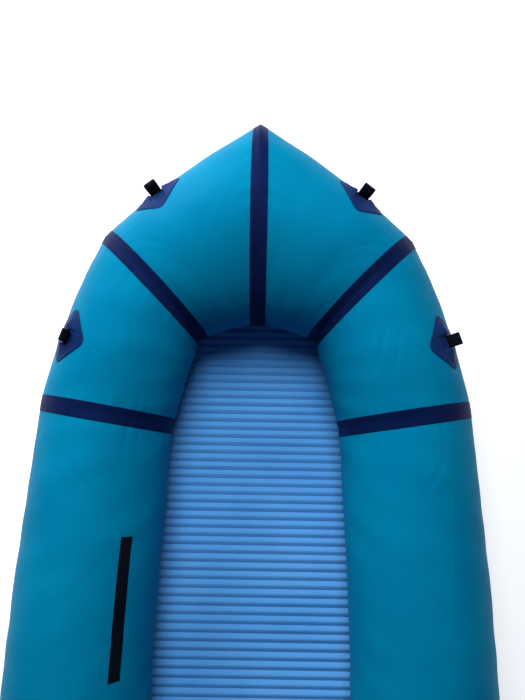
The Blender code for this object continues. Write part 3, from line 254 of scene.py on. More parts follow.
def addPiece(name, mesh, finish, sharpAbove=38):
    mesh.name = name
    mesh.materials.clear()
    mesh.materials.append(materials[finish])
    mesh.shade_smooth()
    mesh.set_sharp_from_angle(angle=radians(sharpAbove))
    return linked(name, mesh)


def gridBody(name, rows, finish, closeRows=False, uv=None, sharpAbove=38):
    # a closed body from rows of points that each run once round it. Open ends get fans of triangles
    rows = np.asarray(rows, float)
    count, around = rows.shape[:2]
    index = np.arange(count * around).reshape(count, around)
    low, high = (index, np.roll(index, -1, 0)) if closeRows else (index[:-1], index[1:])
    quads = np.stack([low, np.roll(low, -1, 1), np.roll(high, -1, 1), high], -1).reshape(-1, 4)
    points = rows.reshape(-1, 3)
    fans = np.empty((0, 3), int)
    if not closeRows:
        points = np.vstack([points, rows[0].mean(0), rows[-1].mean(0)])
        first, last, middle = index[0], index[-1], count * around
        fans = np.vstack([np.stack([np.full(around, middle), np.roll(first, -1), first], -1),
                          np.stack([np.full(around, middle + 1), last, np.roll(last, -1)], -1)])
    tris = np.vstack([quads[:, [0, 1, 2]], quads[:, [0, 2, 3]], fans])
    a, b, c = (points[tris[:, i]] for i in range(3))
    if uv is None:
        uv = uvGrid(np.linspace(0, 1, around + 1), np.linspace(0, 1, count + 1)[:, None])
    uv = np.asarray(uv, float)
    if len(uv) == count:
        uv = np.concatenate([uv, uv[:1]], 0)
    n = count if closeRows else count - 1
    corner = np.stack([uv[:n, :-1], uv[:n, 1:], uv[1:n + 1, 1:], uv[1:n + 1, :-1]], 2).reshape(-1, 4, 2)
    tips = np.empty((0, 3, 2))
    if len(fans):
        for row, pair in ((uv[0], (slice(1, None), slice(-1))), (uv[count - 1], (slice(-1), slice(1, None)))):
            centre = np.broadcast_to(row.mean(0), (around, 2))
            tips = np.vstack([tips, np.stack([centre, row[pair[0]], row[pair[1]]], 1)])
    if np.einsum("ij,ij->", a, np.cross(b, c)) < 0:     # inside out
        quads, fans, corner, tips = (table[:, ::-1] for table in (quads, fans, corner, tips))
    mesh = meshOf(name, points.tolist(), faces=quads.tolist() + fans.tolist())
    mesh.uv_layers.new(name="cloth").data.foreach_set("uv", np.concatenate([corner.ravel(), tips.ravel()]))
    mesh.update()
    return addPiece(name, mesh, finish, sharpAbove)


def stripRows(centres, widths, normals, thickness, halfWidth):
    # section loops of a flat strip with rounded edges, along its route
    edgeSteps, faceSteps, edge = 3, 8, thickness / 2
    turns = np.linspace(-pi / 2, pi / 2, 2 * edgeSteps + 1)
    loop = [(halfWidth - edge + edge * cos(t), edge * sin(t)) for t in turns]
    loop += [(-x, -z) for x, z in loop]
    flat = []
    for (x0, z0), (x1, z1) in zip(loop, loop[1:] + loop[:1]):
        flat.append((x0, z0))
        if abs(x1 - x0) > halfWidth:
            flat += [(x0 + (x1 - x0) * k / faceSteps, z0) for k in range(1, faceSteps)]
    rows = np.array([[np.asarray(centre) + np.asarray(width) * x + np.asarray(normal) * z for x, z in flat]
                     for centre, width, normal in zip(centres, widths, normals)])
    along = np.concatenate([[0], np.cumsum(norm(np.diff(np.asarray(centres), axis=0), axis=1))])
    return rows, uvGrid(np.array([x for x, z in flat + flat[:1]]), along[:, None])


def frameAt(origin, xAxis, zAxis):
    z = Vector(zAxis).normalized()
    y = z.cross(Vector(xAxis)).normalized()
    return Matrix.Translation(origin) @ Matrix((y.cross(z), y, z)).transposed().to_4x4()


def shift(x=0, y=0, z=0):
    return Matrix.Translation((x, y, z))


def softened(path, radius, closed=False, steps=3):
    # the same outline with its corners made round
    out, count = [], len(path)
    for i, here in enumerate(path):
        if not closed and i in (0, count - 1):
            out.append(here)
            continue
        p = np.array(here)
        a, b = np.array(path[i - 1]) - p, np.array(path[(i + 1) % count]) - p
        reach = min(radius, norm(a) * 0.45, norm(b) * 0.45)
        a, b = p + a / norm(a) * reach, p + b / norm(b) * reach
        for t in (k / steps for k in range(steps + 1)):
            out.append(tuple((1 - t) ** 2 * a + 2 * t * (1 - t) * p + t * t * b))
    return out


def turnedBody(name, profile, place, segments, radius, finish="valvePlastic", ring=True, push=None):
    # solid of revolution about the frame's Z from (radius, height) pairs
    path = softened(profile, radius, closed=ring)
    rows = np.array([[(r * cos(t), r * sin(t), z) for t in allRound(segments)] for r, z in path])
    return gridBody(name, moved(push(rows) if push else rows, place), finish, closeRows=ring)


def joined(name, parts):
    # several closed bodies as one piece
    finish = parts[0].data.materials[0]
    bpy.ops.object.select_all(action="DESELECT")
    for part in parts:
        part.select_set(True)
    bpy.context.view_layer.objects.active = parts[0]
    bpy.ops.object.join()
    parts[0].name = parts[0].data.name = name
    parts[0].data.materials.clear()
    parts[0].data.materials.append(finish)
    return parts[0]


def plainMesh(thing):
    return bpy.data.meshes.new_from_object(thing.evaluated_get(bpy.context.evaluated_depsgraph_get()))


def settled(piece, finish, place=Matrix.Identity(4), sharpAbove=38):
    # modifiers applied and the place put into the mesh
    mesh, name = plainMesh(piece), piece.name
    mesh.transform(place)
    bpy.data.objects.remove(piece)
    return addPiece(name, mesh, finish, sharpAbove)


def roundedBox(name, size, edge, place):
    x, y, z = (s / 2 for s in size)
    corners = [(i, j, k) for i in (-x, x) for j in (-y, y) for k in (-z, z)]
    faces = [(0, 1, 3, 2), (4, 6, 7, 5), (0, 4, 5, 1), (2, 3, 7, 6), (0, 2, 6, 4), (1, 5, 7, 3)]
    box = addPiece(name, meshOf(name, corners, faces=faces), "valvePlastic")
    bevel = box.modifiers.new("edges", "BEVEL")
    bevel.width, bevel.segments = edge, 3
    return settled(box, "valvePlastic", place)


def nodeName(name):
    # seatCushion is the CAD's seat_cushion
    return "".join("_" + c.lower() if c.isupper() else c for c in name)


def finished(piece):
    # the piece stands for the CAD node of its own name, which is hidden
    own = nodeName(piece.name)
    if own in frame["nodes"]:
        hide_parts(own)
    return own


def stands(piece, body=None):
    # a finished piece that rides on the body, on the one of its own name or on the hull
    own = finished(piece)
    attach(piece, body or (own if own in frame["bodies"] else "hull"))
    return piece


# Node trees

def addNode(tree, kind, inputs=None, **settings):
    node = tree.nodes.new(kind)
    for key, value in settings.items():
        setattr(node, key, value)
    for key, value in (inputs or {}).items():
        if isinstance(value, bpy.types.NodeSocket):
            tree.links.new(value, node.inputs[key])
        else:
            node.inputs[key].default_value = value
    return node


def outOf(tree, kind, inputs=None, **settings):
    return addNode(tree, kind, inputs, **settings).outputs[0]


def mathNode(tree, operation, *values):
    return outOf(tree, "ShaderNodeMath", dict(enumerate(values)), operation=operation)


def newTree(name, inputs):
    tree = bpy.data.node_groups.new(name, "GeometryNodeTree")
    tree.interface.new_socket("Geometry", in_out="INPUT", socket_type="NodeSocketGeometry")
    for label, value in inputs.items():
        kind = "NodeSocketInt" if isinstance(value, int) else "NodeSocketFloat"
        tree.interface.new_socket(label, in_out="INPUT", socket_type=kind).default_value = value
    tree.interface.new_socket("Geometry", in_out="OUTPUT", socket_type="NodeSocketGeometry")
    return tree, tree.nodes.new("NodeGroupInput").outputs


def closeTree(tree, geometry, finish):
    real = outOf(tree, "GeometryNodeRealizeInstances", {"Geometry": geometry})
    smooth = outOf(tree, "GeometryNodeSetShadeSmooth", {"Geometry": real})
    done = outOf(tree, "GeometryNodeSetMaterial", {"Geometry": smooth, "Material": materials[finish]})
    tree.links.new(done, tree.nodes.new("NodeGroupOutput").inputs[0])
    return tree


def grown(name, source, tree, values, finish, place=Matrix.Identity(4)):
    # the tree's result on the source mesh, as a plain mesh piece
    carrier = linked(name + "Source", source)
    modifier = carrier.modifiers.new("grow", "NODES")
    modifier.node_group = tree
    for item in tree.interface.items_tree:
        if item.item_type == "SOCKET" and item.in_out == "INPUT" and item.name in values:
            modifier[item.identifier] = values[item.name]
    mesh = plainMesh(carrier)
    mesh.transform(place)
    bpy.data.objects.remove(carrier)
    return addPiece(name, mesh, finish, 60)


def pathMesh(name, lines):
    # edges only: the routes that stitches follow
    points, edges = [], []
    for line in lines:
        start = len(points)
        points += [tuple(p) for p in line]
        edges += [(start + i, start + i + 1) for i in range(len(line) - 1)]
    return meshOf(name, points, edges)


def beads(tree, given, points, finish, segments, size, **more):
    # small rounded bodies of the given size on the points
    bead = outOf(tree, "GeometryNodeMeshUVSphere", {"Segments": segments, "Rings": segments - 1, "Radius": 0.5})
    scale = outOf(tree, "ShaderNodeCombineXYZ", {axis: given[label] for axis, label in zip("XYZ", size)})
    laid = outOf(tree, "GeometryNodeInstanceOnPoints", {"Points": points, "Instance": bead, "Scale": scale, **more})
    return closeTree(tree, laid, finish)


def stitchTree(finish):
    tree, given = newTree("stitching", {"Pitch": 0.0032, "Length": 0.0022, "Thread": 0.0009})
    curve = outOf(tree, "GeometryNodeMeshToCurve", {"Mesh": given["Geometry"]})
    dots = outOf(tree, "GeometryNodeResampleCurve", {"Curve": curve, "Length": given["Pitch"]}, mode="LENGTH")
    tangent = outOf(tree, "GeometryNodeInputTangent")
    turn = outOf(tree, "FunctionNodeAlignRotationToVector", {"Vector": tangent}, axis="X")
    return beads(tree, given, dots, finish, 6, ("Length", "Thread", "Thread"), Rotation=turn)


def gripTree(finish):
    # upright rounded ribs on a circle, as round a cap
    tree, given = newTree("gripRibs", {"Count": 30, "Radius": 0.027, "Height": 0.009, "Width": 0.0022})
    circle = outOf(tree, "GeometryNodeMeshCircle", {"Vertices": given["Count"], "Radius": given["Radius"]})
    return beads(tree, given, circle, finish, 8, ("Width", "Width", "Height"))


def ribTree(finish):
    # lifts a pad's top into ribs across it: the mesh attribute ribbed says where, from 0 to 1
    tree, given = newTree("matRibs", {"Pitch": 0.0184, "Height": 0.0045, "Front": 0.706, "Roundness": 2.4})
    place = outOf(tree, "GeometryNodeInputPosition")
    y = addNode(tree, "ShaderNodeSeparateXYZ", {0: place}).outputs["Y"]
    back = mathNode(tree, "SUBTRACT", given["Front"], y)
    part = mathNode(tree, "FRACT", mathNode(tree, "DIVIDE", back, given["Pitch"]))
    off = mathNode(tree, "ABSOLUTE", mathNode(tree, "MULTIPLY_ADD", part, 2.0, -1.0))
    valley = mathNode(tree, "POWER", off, given["Roundness"])
    where = outOf(tree, "GeometryNodeInputNamedAttribute", {"Name": "ribbed"}, data_type="FLOAT")
    drop = mathNode(tree, "MULTIPLY", mathNode(tree, "MULTIPLY", valley, given["Height"]), where)
    down = outOf(tree, "ShaderNodeCombineXYZ", {"Z": mathNode(tree, "MULTIPLY", drop, -1.0)})
    lifted = outOf(tree, "GeometryNodeSetPosition", {"Geometry": given["Geometry"], "Offset": down})
    return closeTree(tree, lifted, finish)


# Finishes. Base colours are linear

looks = ("light", "dark", "rough", "specular", "sheen", "weave", "bump", "grain")
fabrics = {name: dict(zip(looks, row)) for name, *row in (
    ("tubeFabric", (0.0006, 0.222, 0.405), (0.0003, 0.182, 0.355), 0.46, 0.07, 0.06, 0.0011, 0.10, 0.05),
    ("tapeFabric", (0.0050, 0.0135, 0.070), (0.0030, 0.0085, 0.050), 0.50, 0.16, 0.03, 0.0009, 0.16, 0.08),
    ("patchFabric", (0.010, 0.034, 0.145), (0.005, 0.020, 0.098), 0.50, 0.14, 0.06, 0.0009, 0.18, 0.10),
    ("floorFabric", (0.01, 0.02, 0.06), (0.005, 0.012, 0.04), 0.62, 0.15, 0.02, 0.0014, 0.25, 0.10),
    ("matFabric", (0.108, 0.370, 0.800), (0.082, 0.320, 0.730), 0.55, 0.15, 0.05, 0.0012, 0.12, 0.06),
    ("cushionFabric", (0.048, 0.058, 0.092), (0.026, 0.034, 0.058), 0.60, 0.30, 0.10, 0.0013, 0.25, 0.10),
    ("webbing", (0.006, 0.008, 0.016), (0.002, 0.003, 0.007), 0.75, 0.18, 0.05, 0.0022, 0.70, 0.25),
    ("stripPrint", (0.006, 0.008, 0.014), (0.003, 0.004, 0.008), 0.60, 0.20, 0.00, 0.0011, 0.10, 0.10),
)}
hardLooks = {
    "valvePlastic": {"light": (0.040, 0.042, 0.047), "dark": (0.024, 0.026, 0.029), "rough": 0.40, "metal": 0.0},
    "mouthPlastic": {"light": (0.60, 0.62, 0.65), "dark": (0.47, 0.49, 0.53), "rough": 0.34, "metal": 0.0},
    "springSteel": {"light": (0.74, 0.75, 0.77), "dark": (0.60, 0.61, 0.64), "rough": 0.24, "metal": 1.0},
}
noises = {       # scale and detail
    "broad": (5.0, 3.0), "fine": (420.0, 2.0), "crumple": (60.0, 4.0),      # cloth
    "flow": (90.0, 3.0), "grain": (2600.0, 1.0),                            # plastic and metal
    "scuff": (3.0, 2.0),                                                    # floor
}


def newMaterial(name):
    material = bpy.data.materials.new(name)
    material.use_nodes = True
    tree = material.node_tree
    place = addNode(tree, "ShaderNodeTexCoord").outputs["Object"]
    return material, tree, tree.nodes["Principled BSDF"].inputs, place


def noise(tree, place, kind):
    scale, detail = noises[kind]
    return outOf(tree, "ShaderNodeTexNoise", {"Vector": place, "Scale": scale, "Detail": detail})


def ranged(tree, value, low, high, toLow, toHigh):
    return outOf(tree, "ShaderNodeMapRange", {"Value": value, "From Min": low, "From Max": high,
                                              "To Min": toLow, "To Max": toHigh})


def coloured(tree, shader, look, share, height, strength, distance):
    # the look's two colours mixed by share, and bump from a height
    mix = addNode(tree, "ShaderNodeMix", {"Factor": share}, data_type="RGBA")
    dark, light, result = [s for s in (*mix.inputs, *mix.outputs) if s.type == "RGBA"]
    dark.default_value, light.default_value = (*look["dark"], 1), (*look["light"], 1)
    tree.links.new(result, shader["Base Color"])
    bump = outOf(tree, "ShaderNodeBump", {"Height": height, "Strength": strength, "Distance": distance})
    tree.links.new(bump, shader["Normal"])


def fabricMaterial(name):
    # coated woven cloth: two-tone mottle, fine weave along its own UV, small creases
    look = fabrics[name]
    material, tree, shader, place = newMaterial(name)
    broad, fine, crumple = (noise(tree, place, kind) for kind in ("broad", "fine", "crumple"))
    tone = ranged(tree, broad, 0.32, 0.68, 0.0, 1.0)
    speck = ranged(tree, fine, 0.3, 0.7, -look["grain"] * 2, look["grain"] * 2)
    cloth = outOf(tree, "ShaderNodeUVMap", uv_map="cloth")
    threads = [addNode(tree, "ShaderNodeTexWave", {"Vector": cloth, "Scale": pi / 10 / look["weave"]},
                       bands_direction=way).outputs[1] for way in "XY"]
    height = mathNode(tree, "MULTIPLY_ADD", crumple, 1.4, mathNode(tree, "MAXIMUM", *threads))
    coloured(tree, shader, look, mathNode(tree, "ADD", tone, speck), height, look["bump"], 0.0006)
    rough = ranged(tree, broad, 0.3, 0.7, look["rough"] - 0.05, look["rough"] + 0.06)
    tree.links.new(rough, shader["Roughness"])
    tint = (*(min(1, v / max(look["light"]) * 1.1) for v in look["light"]), 1)
    for label, value in (("Specular IOR Level", look["specular"]), ("Specular Tint", tint), ("IOR", 1.25),
                         ("Sheen Weight", look["sheen"]), ("Sheen Tint", tint), ("Sheen Roughness", 0.40)):
        shader[label].default_value = value
    return material


def hardMaterial(name):
    # moulded plastic or drawn wire: fine grain, slight flow marks, roughness that varies
    look = hardLooks[name]
    material, tree, shader, place = newMaterial(name)
    flow, grain = noise(tree, place, "flow"), noise(tree, place, "grain")
    coloured(tree, shader, look, flow, grain, 0.15, 0.0002)
    rough = ranged(tree, flow, 0.0, 1.0, look["rough"] - 0.08, look["rough"] + 0.08)
    tree.links.new(rough, shader["Roughness"])
    shader["Metallic"].default_value = look["metal"]
    return material


materials = {name: fabricMaterial(name) for name in fabrics}
materials.update({name: hardMaterial(name) for name in hardLooks})
slotOf = {m.name: {"matFabric": "mat_foam", "stripPrint": "tube_fabric"}.get(name, nodeName(name))
          for name, m in materials.items()}
print("finishes:", len(fabrics), "fabrics,", len(hardLooks), "hard ones")


# Tube panels

def rowPlaces(length):
    # distances along a panel: close rows near both seams, wider ones between
    near = np.arange(0, skin["nearReach"], skin["nearStep"])
    middle = length - 2 * skin["nearReach"]
    steps = max(2, round(middle / skin["farStep"]))
    far = skin["nearReach"] + np.arange(steps + 1) * middle / steps
    return np.concatenate([near, far[:-1], (length - near)[::-1]])


turnAngles = np.linspace(0, 2 * pi, skin["columns"] + 1)


def panelPiece(name, label):
    length, end = panels[name]["length"], gap / 2
    outer = np.clip(rowPlaces(length), end, length - end)
    outer = np.unique(np.concatenate([outer, [length - skin["nearReach"]]]))
    inner = np.linspace(length - end, end, 5)
    rows = [face(name, along[:, None] / length, turnAngles[:-1][None], sides[label], offset)
            for along, offset in ((outer, 0.0), (inner, -skin["fabric"]))]
    uv = uvGrid(turnAngles[None] * tubeRadius, np.concatenate([outer, inner])[:, None])
    return gridBody(f"{name}Panel{label}", np.concatenate(rows), "tubeFabric", closeRows=True, uv=uv)


def panelTree(name, side, offset=0.0):
    # the panel's face for rays, fine enough to set things on
    length = panels[name]["length"]
    points = face(name, rowPlaces(length)[:, None] / length, turnAngles[:-1][None], side, offset)
    n, m = points.shape[:2]
    index = np.arange(n * m).reshape(n, m)
    quads = np.stack([index[:-1], np.roll(index, -1, 1)[:-1], np.roll(index, -1, 1)[1:], index[1:]], -1)
    return BVHTree.FromPolygons(points.reshape(-1, 3).tolist(), quads.reshape(-1, 4).tolist())


def surfaceFrame(name, share, angle, side):
    # frame on the tube's face: Z outward, X along the tube towards the stern
    turn, step = radians(angle), 0.002
    here, outward = onPanel(panels[name], share, turn, 0.0, side)
    ahead = face(name, share + step, turn, side) - face(name, share - step, turn, side)
    round_ = face(name, share, turn + step, side) - face(name, share, turn - step, side)
    normal = np.cross(round_, ahead)
    return frameAt(here, ahead, normal if normal @ outward > 0 else -normal)


def drilled(piece, place, radius):
    # a round hole through a panel, for a valve
    depth, segments = 0.03, 64
    points = [(radius * cos(t), radius * sin(t), z) for z in (-depth, depth) for t in allRound(segments)]
    faces = [tuple(range(segments))[::-1], tuple(range(segments, 2 * segments))]
    faces += [(k, (k + 1) % segments, segments + (k + 1) % segments, segments + k) for k in range(segments)]
    drill = linked("drill", meshOf("drill", points, faces=faces))
    drill.data.transform(place)
    cut = piece.modifiers.new("hole", "BOOLEAN")
    cut.operation, cut.object = "DIFFERENCE", drill
    piece = settled(piece, "tubeFabric")
    bpy.data.objects.remove(drill)
    return piece


mainValve = {
    "rim": frameAt((-0.333525, -0.634735, 0.292513), (0.359755, -0.929732, 0.078579),
                   (-0.247986, -0.014088, 0.968661)),
    "seatHeight": 0.0086, "patchRadius": 0.050, "bootRadius": 0.036, "bootHeight": 0.0060, "bootTall": 0.0035,
    "neckRadius": 0.0170, "neckDepth": 0.022, "wall": 0.0022, "rimRadius": 0.0240, "rimHeight": 0.0050,
    "capRadius": 0.0270, "capWall": 0.0010, "capHeight": 0.0120, "capMouth": 0.004, "hingeReach": 0.0050,
    "hingeWidth": 0.0120, "leash": 0.0020, "leashRadius": 0.0210, "spider": 0.0022, "spiderDepth": 0.0110,
    "hubRadius": 0.0055, "stemRadius": 0.0026, "buttonRadius": 0.0062, "buttonHeight": 0.0016, "disc": 0.0024,
    "springRadius": 0.0046, "wire": 0.0006, "springTurns": 4, "travel": 0.005, "boxEdge": 0.0005,
    "ribs": {"Count": 36, "Height": 0.0094, "Width": 0.0019}, "ribMiddle": 0.0054,
}
topoffValve = frameAt((-0.270011, -0.198554, 0.260027), (0, -1, 0), (0.508813, -0.000962, 0.860876))
onTube = mainValve["rim"] @ shift(z=-mainValve["seatHeight"])
neckHole = mainValve["neckRadius"] + gap
drills = {"quarterPanelLeft": (onTube, neckHole), "sidePanelLeft": (topoffValve, 0.0063)}

for panelName in panels:
    for label in sides:
        piece = panelPiece(panelName, label)
        stands(drilled(piece, *drills[piece.name]) if piece.name in drills else piece)
print("tube: ten panels")


# Seam tapes: over each seam, thin and with rounded edges

def tapeSection():
    # along the tube and outward, once round the tape's section
    half, low, top, bevel = skin["tapeWidth"] / 2, gap, gap + skin["tape"], 0.0003
    side = [(half - bevel, top - 0.0001), (half, (low + top) / 2), (half, low)]
    return ([(-x, z) for x, z in side[::-1]] + [(x, top) for x in np.linspace(-half + 0.0008, half - 0.0008, 11)]
            + side + [(x, low) for x in np.linspace(half - 0.004, -half + 0.004, 5)])


def squareRun(name, atEnd):
    # distance square to the seam that a panel covers per share of its length, round the tube
    end, step, angles = int(atEnd), 0.02, turnAngles[:-1]
    ahead = face(name, end + (-step if atEnd else step), angles) - face(name, end, angles)
    seam = unit(face(name, end, angles + step) - face(name, end, angles - step))
    return norm(ahead - seam * (ahead * seam).sum(-1, keepdims=True), axis=-1) / step


def seamTape(name, *halves):
    # each half is (panel, whether its end is at the seam, side), the one before the seam first
    rows, uv = [], []
    runs = [squareRun(*half[:2]) for half in halves]
    for away, height in tapeSection():
        which = int(away > 0)
        panelName, atEnd, side = halves[which]
        share = abs(away) / runs[which]
        share = 1 - share if atEnd else share
        rows.append(face(panelName, share, turnAngles[:-1], side, height))
        uv.append(uvGrid(turnAngles * tubeRadius, away + 0.5))
    stands(gridBody(name, rows, "tapeFabric", closeRows=True, uv=uv, sharpAbove=60))


seamTape("bowSeamTape", ("bow", False, -1), ("bow", False, 1))
seamTape("sternSeamTape", ("stern", True, -1), ("stern", True, 1))
order = list(panels)
for seam, before, after in zip(("shoulder", "front", "rear", "quarter"), order, order[1:]):
    for label, side in sides.items():
        seamTape(f"{seam}SeamTape{label}", (before, True, side), (after, False, side))
print("tube: ten seam tapes")


# The whole tube for rays, and rows along it

wallRoom = 0.0024               # for the layers between the tube's inner face and the mat
hullTrees = [panelTree(name, 1, wallRoom) for name in panels]


def wallX(y, z):
    # half width of the cockpit at a height, to the tube's inner face
    hits = [tree.ray_cast(Vector((0, y, z)), Vector((1, 0, 0)))[0] for tree in hullTrees]
    return min([hit.x for hit in hits if hit is not None], default=0.05)


def hullRow(place, angles, offset, side):
    # points at a distance along the whole hull from the bow seam
    for name, panel in panels.items():
        if place <= panel["length"] or name == "stern":
            return face(name, place / panel["length"], angles, side, offset)
        place -= panel["length"]


# Floor sheet and its inside tapes

floorSheet = {"offset": 0.0012, "thickness": 0.0009, "edgeAngle": 247.5, "joinAngle": 232.5, "sag": 0.0016,
              "clear": 0.0172, "rows": 190, "rimSteps": 6, "tapeAngles": (202.5, 231.0)}


def hullSteps(count):
    length = sum(panel["length"] for panel in panels.values())
    return np.linspace(floorSheet["clear"], length - floorSheet["clear"], count)


hullPlaces = hullSteps(floorSheet["rows"])


def floorRows(offset):
    rows = []
    rim = np.radians(np.linspace(floorSheet["edgeAngle"], floorSheet["joinAngle"], floorSheet["rimSteps"]))
    for place in hullPlaces:
        port, starboard = (hullRow(place, rim, offset, side) for side in (-1, 1))
        t = np.linspace(0, 1, 41)[1:-1, None]
        across = port[-1] * (1 - t) + starboard[-1] * t
        across[:, 2] -= floorSheet["sag"] * 4 * (t * (1 - t))[:, 0]
        rows.append(np.vstack([port, across, starboard[::-1]]))
    return np.array(rows)


def makeFloor():
    rim = floorSheet["rimSteps"]
    top = floorRows(floorSheet["offset"])
    bottom = floorRows(floorSheet["offset"] + floorSheet["thickness"])[:, ::-1]
    bottom[:, rim:-rim, 2] -= floorSheet["thickness"]
    rows = np.concatenate([top, bottom], 1)
    rows[..., 2] = np.maximum(rows[..., 2], skin["ground"])
    across = np.concatenate([rows[:, :, 0], top[:, :1, 0]], 1)
    piece = stands(gridBody("floorSheet", rows, "floorFabric", uv=uvGrid(across, hullPlaces[:, None])))
    spans = norm(np.diff(top, axis=1), axis=-1).sum(1)
    steps = norm(np.diff(top[:, top.shape[1] // 2], axis=0), axis=-1)


def makeFloorTape(label, side):
    angles = np.radians(np.linspace(*floorSheet["tapeAngles"], 12))
    low = floorSheet["offset"]
    rows = [np.vstack([hullRow(place, angles, low + skin["tape"], side),
                       hullRow(place, angles, low, side)[::-1]]) for place in hullPlaces]
    loop = np.concatenate([angles, angles[::-1], angles[:1]]) * tubeRadius
    stands(gridBody(f"floorTape{label}", rows, "tapeFabric", uv=uvGrid(loop[None], hullPlaces[:, None])))


makeFloor()
for label, side in sides.items():
    makeFloorTape(label, side)
print("floor: sheet and two inside tapes")


# Ribbed floor mat: a pad that fills the floor between the tubes, ribbed by its node tree

mat = {"front": 0.706, "rear": -0.7152, "thickness": 0.026, "rowsPerRib": 12,
       "ribs": {"Pitch": 0.0184, "Height": 0.0045, "Roundness": 1.4},
       "roll": 0.006, "rollDrop": 0.0024, "endRound": 0.012, "bowGap": 0.010, "bowFrom": 0.22,
       "bowRun": 0.25, "corner": 0.010, "cornerRun": 0.03, "clear": 0.0004,
       "footHeight": 0.010, "footInset": 0.001, "ribStart": 0.006, "edgeRibs": 0.55,
       "columns": (1, 0.998, 0.992, 0.982, 0.968, 0.95, 0.925, 0.88, 0.8, 0.68, 0.54, 0.4, 0.26, 0.13)}


def floorTop(y):
    # height of the floor sheet's upper face at the mat's edge
    edge = np.array([hullRow(p, [radians(floorSheet["joinAngle"])], floorSheet["offset"], 1)[0]
                     for p in hullSteps(160)])
    return np.interp(y, edge[::-1, 1], edge[::-1, 2])


def makeMat():
    m = SimpleNamespace(**mat)
    count = round((m.front - m.rear) / m.ribs["Pitch"] * m.rowsPerRib)
    ys, coarse = (np.linspace(m.front, m.rear, n) for n in (count + 1, 120))
    foot = floorTop(coarse)
    walls = np.array([wallX(y, z + gap + m.thickness) for y, z in zip(coarse, foot)])
    foot, half = (np.interp(ys[::-1], coarse[::-1], table[::-1])[::-1] for table in (foot, walls))
    foot, half = foot + gap, half - m.clear
    inset = np.minimum(m.front - ys, ys - m.rear)
    half = (half - m.bowGap * smoothRise((ys - m.bowFrom) / m.bowRun)
            - m.corner * (1 - smoothRise(inset / m.cornerRun)))
    shares = np.array([-s for s in m.columns] + [0] + list(m.columns[::-1]))
    top = foot + m.thickness - m.endRound * (1 - np.sqrt(np.clip(inset / m.endRound, 0, 1)))
    rows, ribbed = [], []
    for y, h, z, low, end in zip(ys, half, top, foot, inset):
        x, under = shares * h, h - m.footInset
        t = np.clip(1 - (h - np.abs(x)) / m.roll, 0, 1)
        row = [(a, y, b) for a, b in zip(x, z - m.rollDrop * t ** 3)]
        row += [(under, y, low + m.footHeight), (under - m.footInset, y, low), (0, y, low),
                (m.footInset - under, y, low), (-under, y, low + m.footHeight)]
        rows.append(row)
        ribbed.append(np.concatenate([smoothRise(end / m.ribStart) * (1 - m.edgeRibs * t ** 4), np.zeros(5)]))
    loop = [p[0] for p in rows[count // 2]]
    pad = gridBody("matPad", rows, "matFabric", uv=uvGrid(np.array(loop + loop[:1])[None], ys[:, None]))
    values = np.concatenate(ribbed + [[0, 0]])
    source = pad.data
    source.attributes.new("ribbed", "FLOAT", "POINT").data.foreach_set("value", values.astype(np.float32))
    bpy.data.objects.remove(pad)
    piece = stands(grown("floorMat", source, ribTree("matFabric"), {**m.ribs, "Front": m.front}, "matFabric"))
    print("floor: ribbed mat,", len(piece.data.polygons), "faces")


makeMat()


# Tie-down patches and loops

tieDown = {"halfSpan": 0.0622, "corner": 0.018, "fullness": 0.0016, "thickness": 0.0009, "tent": 0.0080,
           "tentLength": 0.040, "tentWidth": 0.017, "tentFrom": 0.0130, "rings": 22, "outline": 112,
           "webbing": 0.0016, "width": 0.025, "height": 0.027, "topRadius": 0.0078, "rootRadius": 0.0019,
           "step": 0.0035, "wobble": 0.03, "rayFrom": 0.03,
           "tack": {"Pitch": 0.0030, "Length": 0.0022, "Thread": 0.0008}, "tackAt": (0.0105, 0.00245, 0.0045)}
tiePlaces = {"bow": (0.64, 26.0), "shoulder": (0.605, 42.0), "stern": (0.38, 26.0)}
# Loop roots: origin, X along the tube, Z up the loop
loopFrames = {
    "bowRight": ((0.212591, 0.922345, 0.286451), (0.830862, -0.499081, -0.246143),
                 (0.510685, 0.508128, 0.693547)),
    "shoulderRight": ((0.384628, 0.625162, 0.259332), (0.337496, -0.935263, -0.106678),
                      (0.649114, 0.149155, 0.745924)),
    "shoulderLeft": ((-0.384628, 0.625162, 0.259332), (-0.337496, -0.935263, -0.106678),
                     (0.234156, -0.193177, 0.952814)),
    "sternRight": ((0.201092, -0.969993, 0.231779), (-0.895044, -0.435587, 0.095705),
                   (0.407858, -0.712662, 0.570759)),
}
for spot in ("bow", "stern"):
    loopFrames[spot + "Left"] = tuple((-v[0], v[1], v[2]) for v in loopFrames[spot + "Right"])


def outlineAt(path, count):
    # evenly spaced points on a closed outline
    points = np.array(path + path[:1])
    steps = np.concatenate([[0], np.cumsum(norm(np.diff(points, axis=0), axis=1))])
    at = np.linspace(0, steps[-1], count, endpoint=False)
    return np.stack([np.interp(at, steps, points[:, i]) for i in (0, 1)], -1)


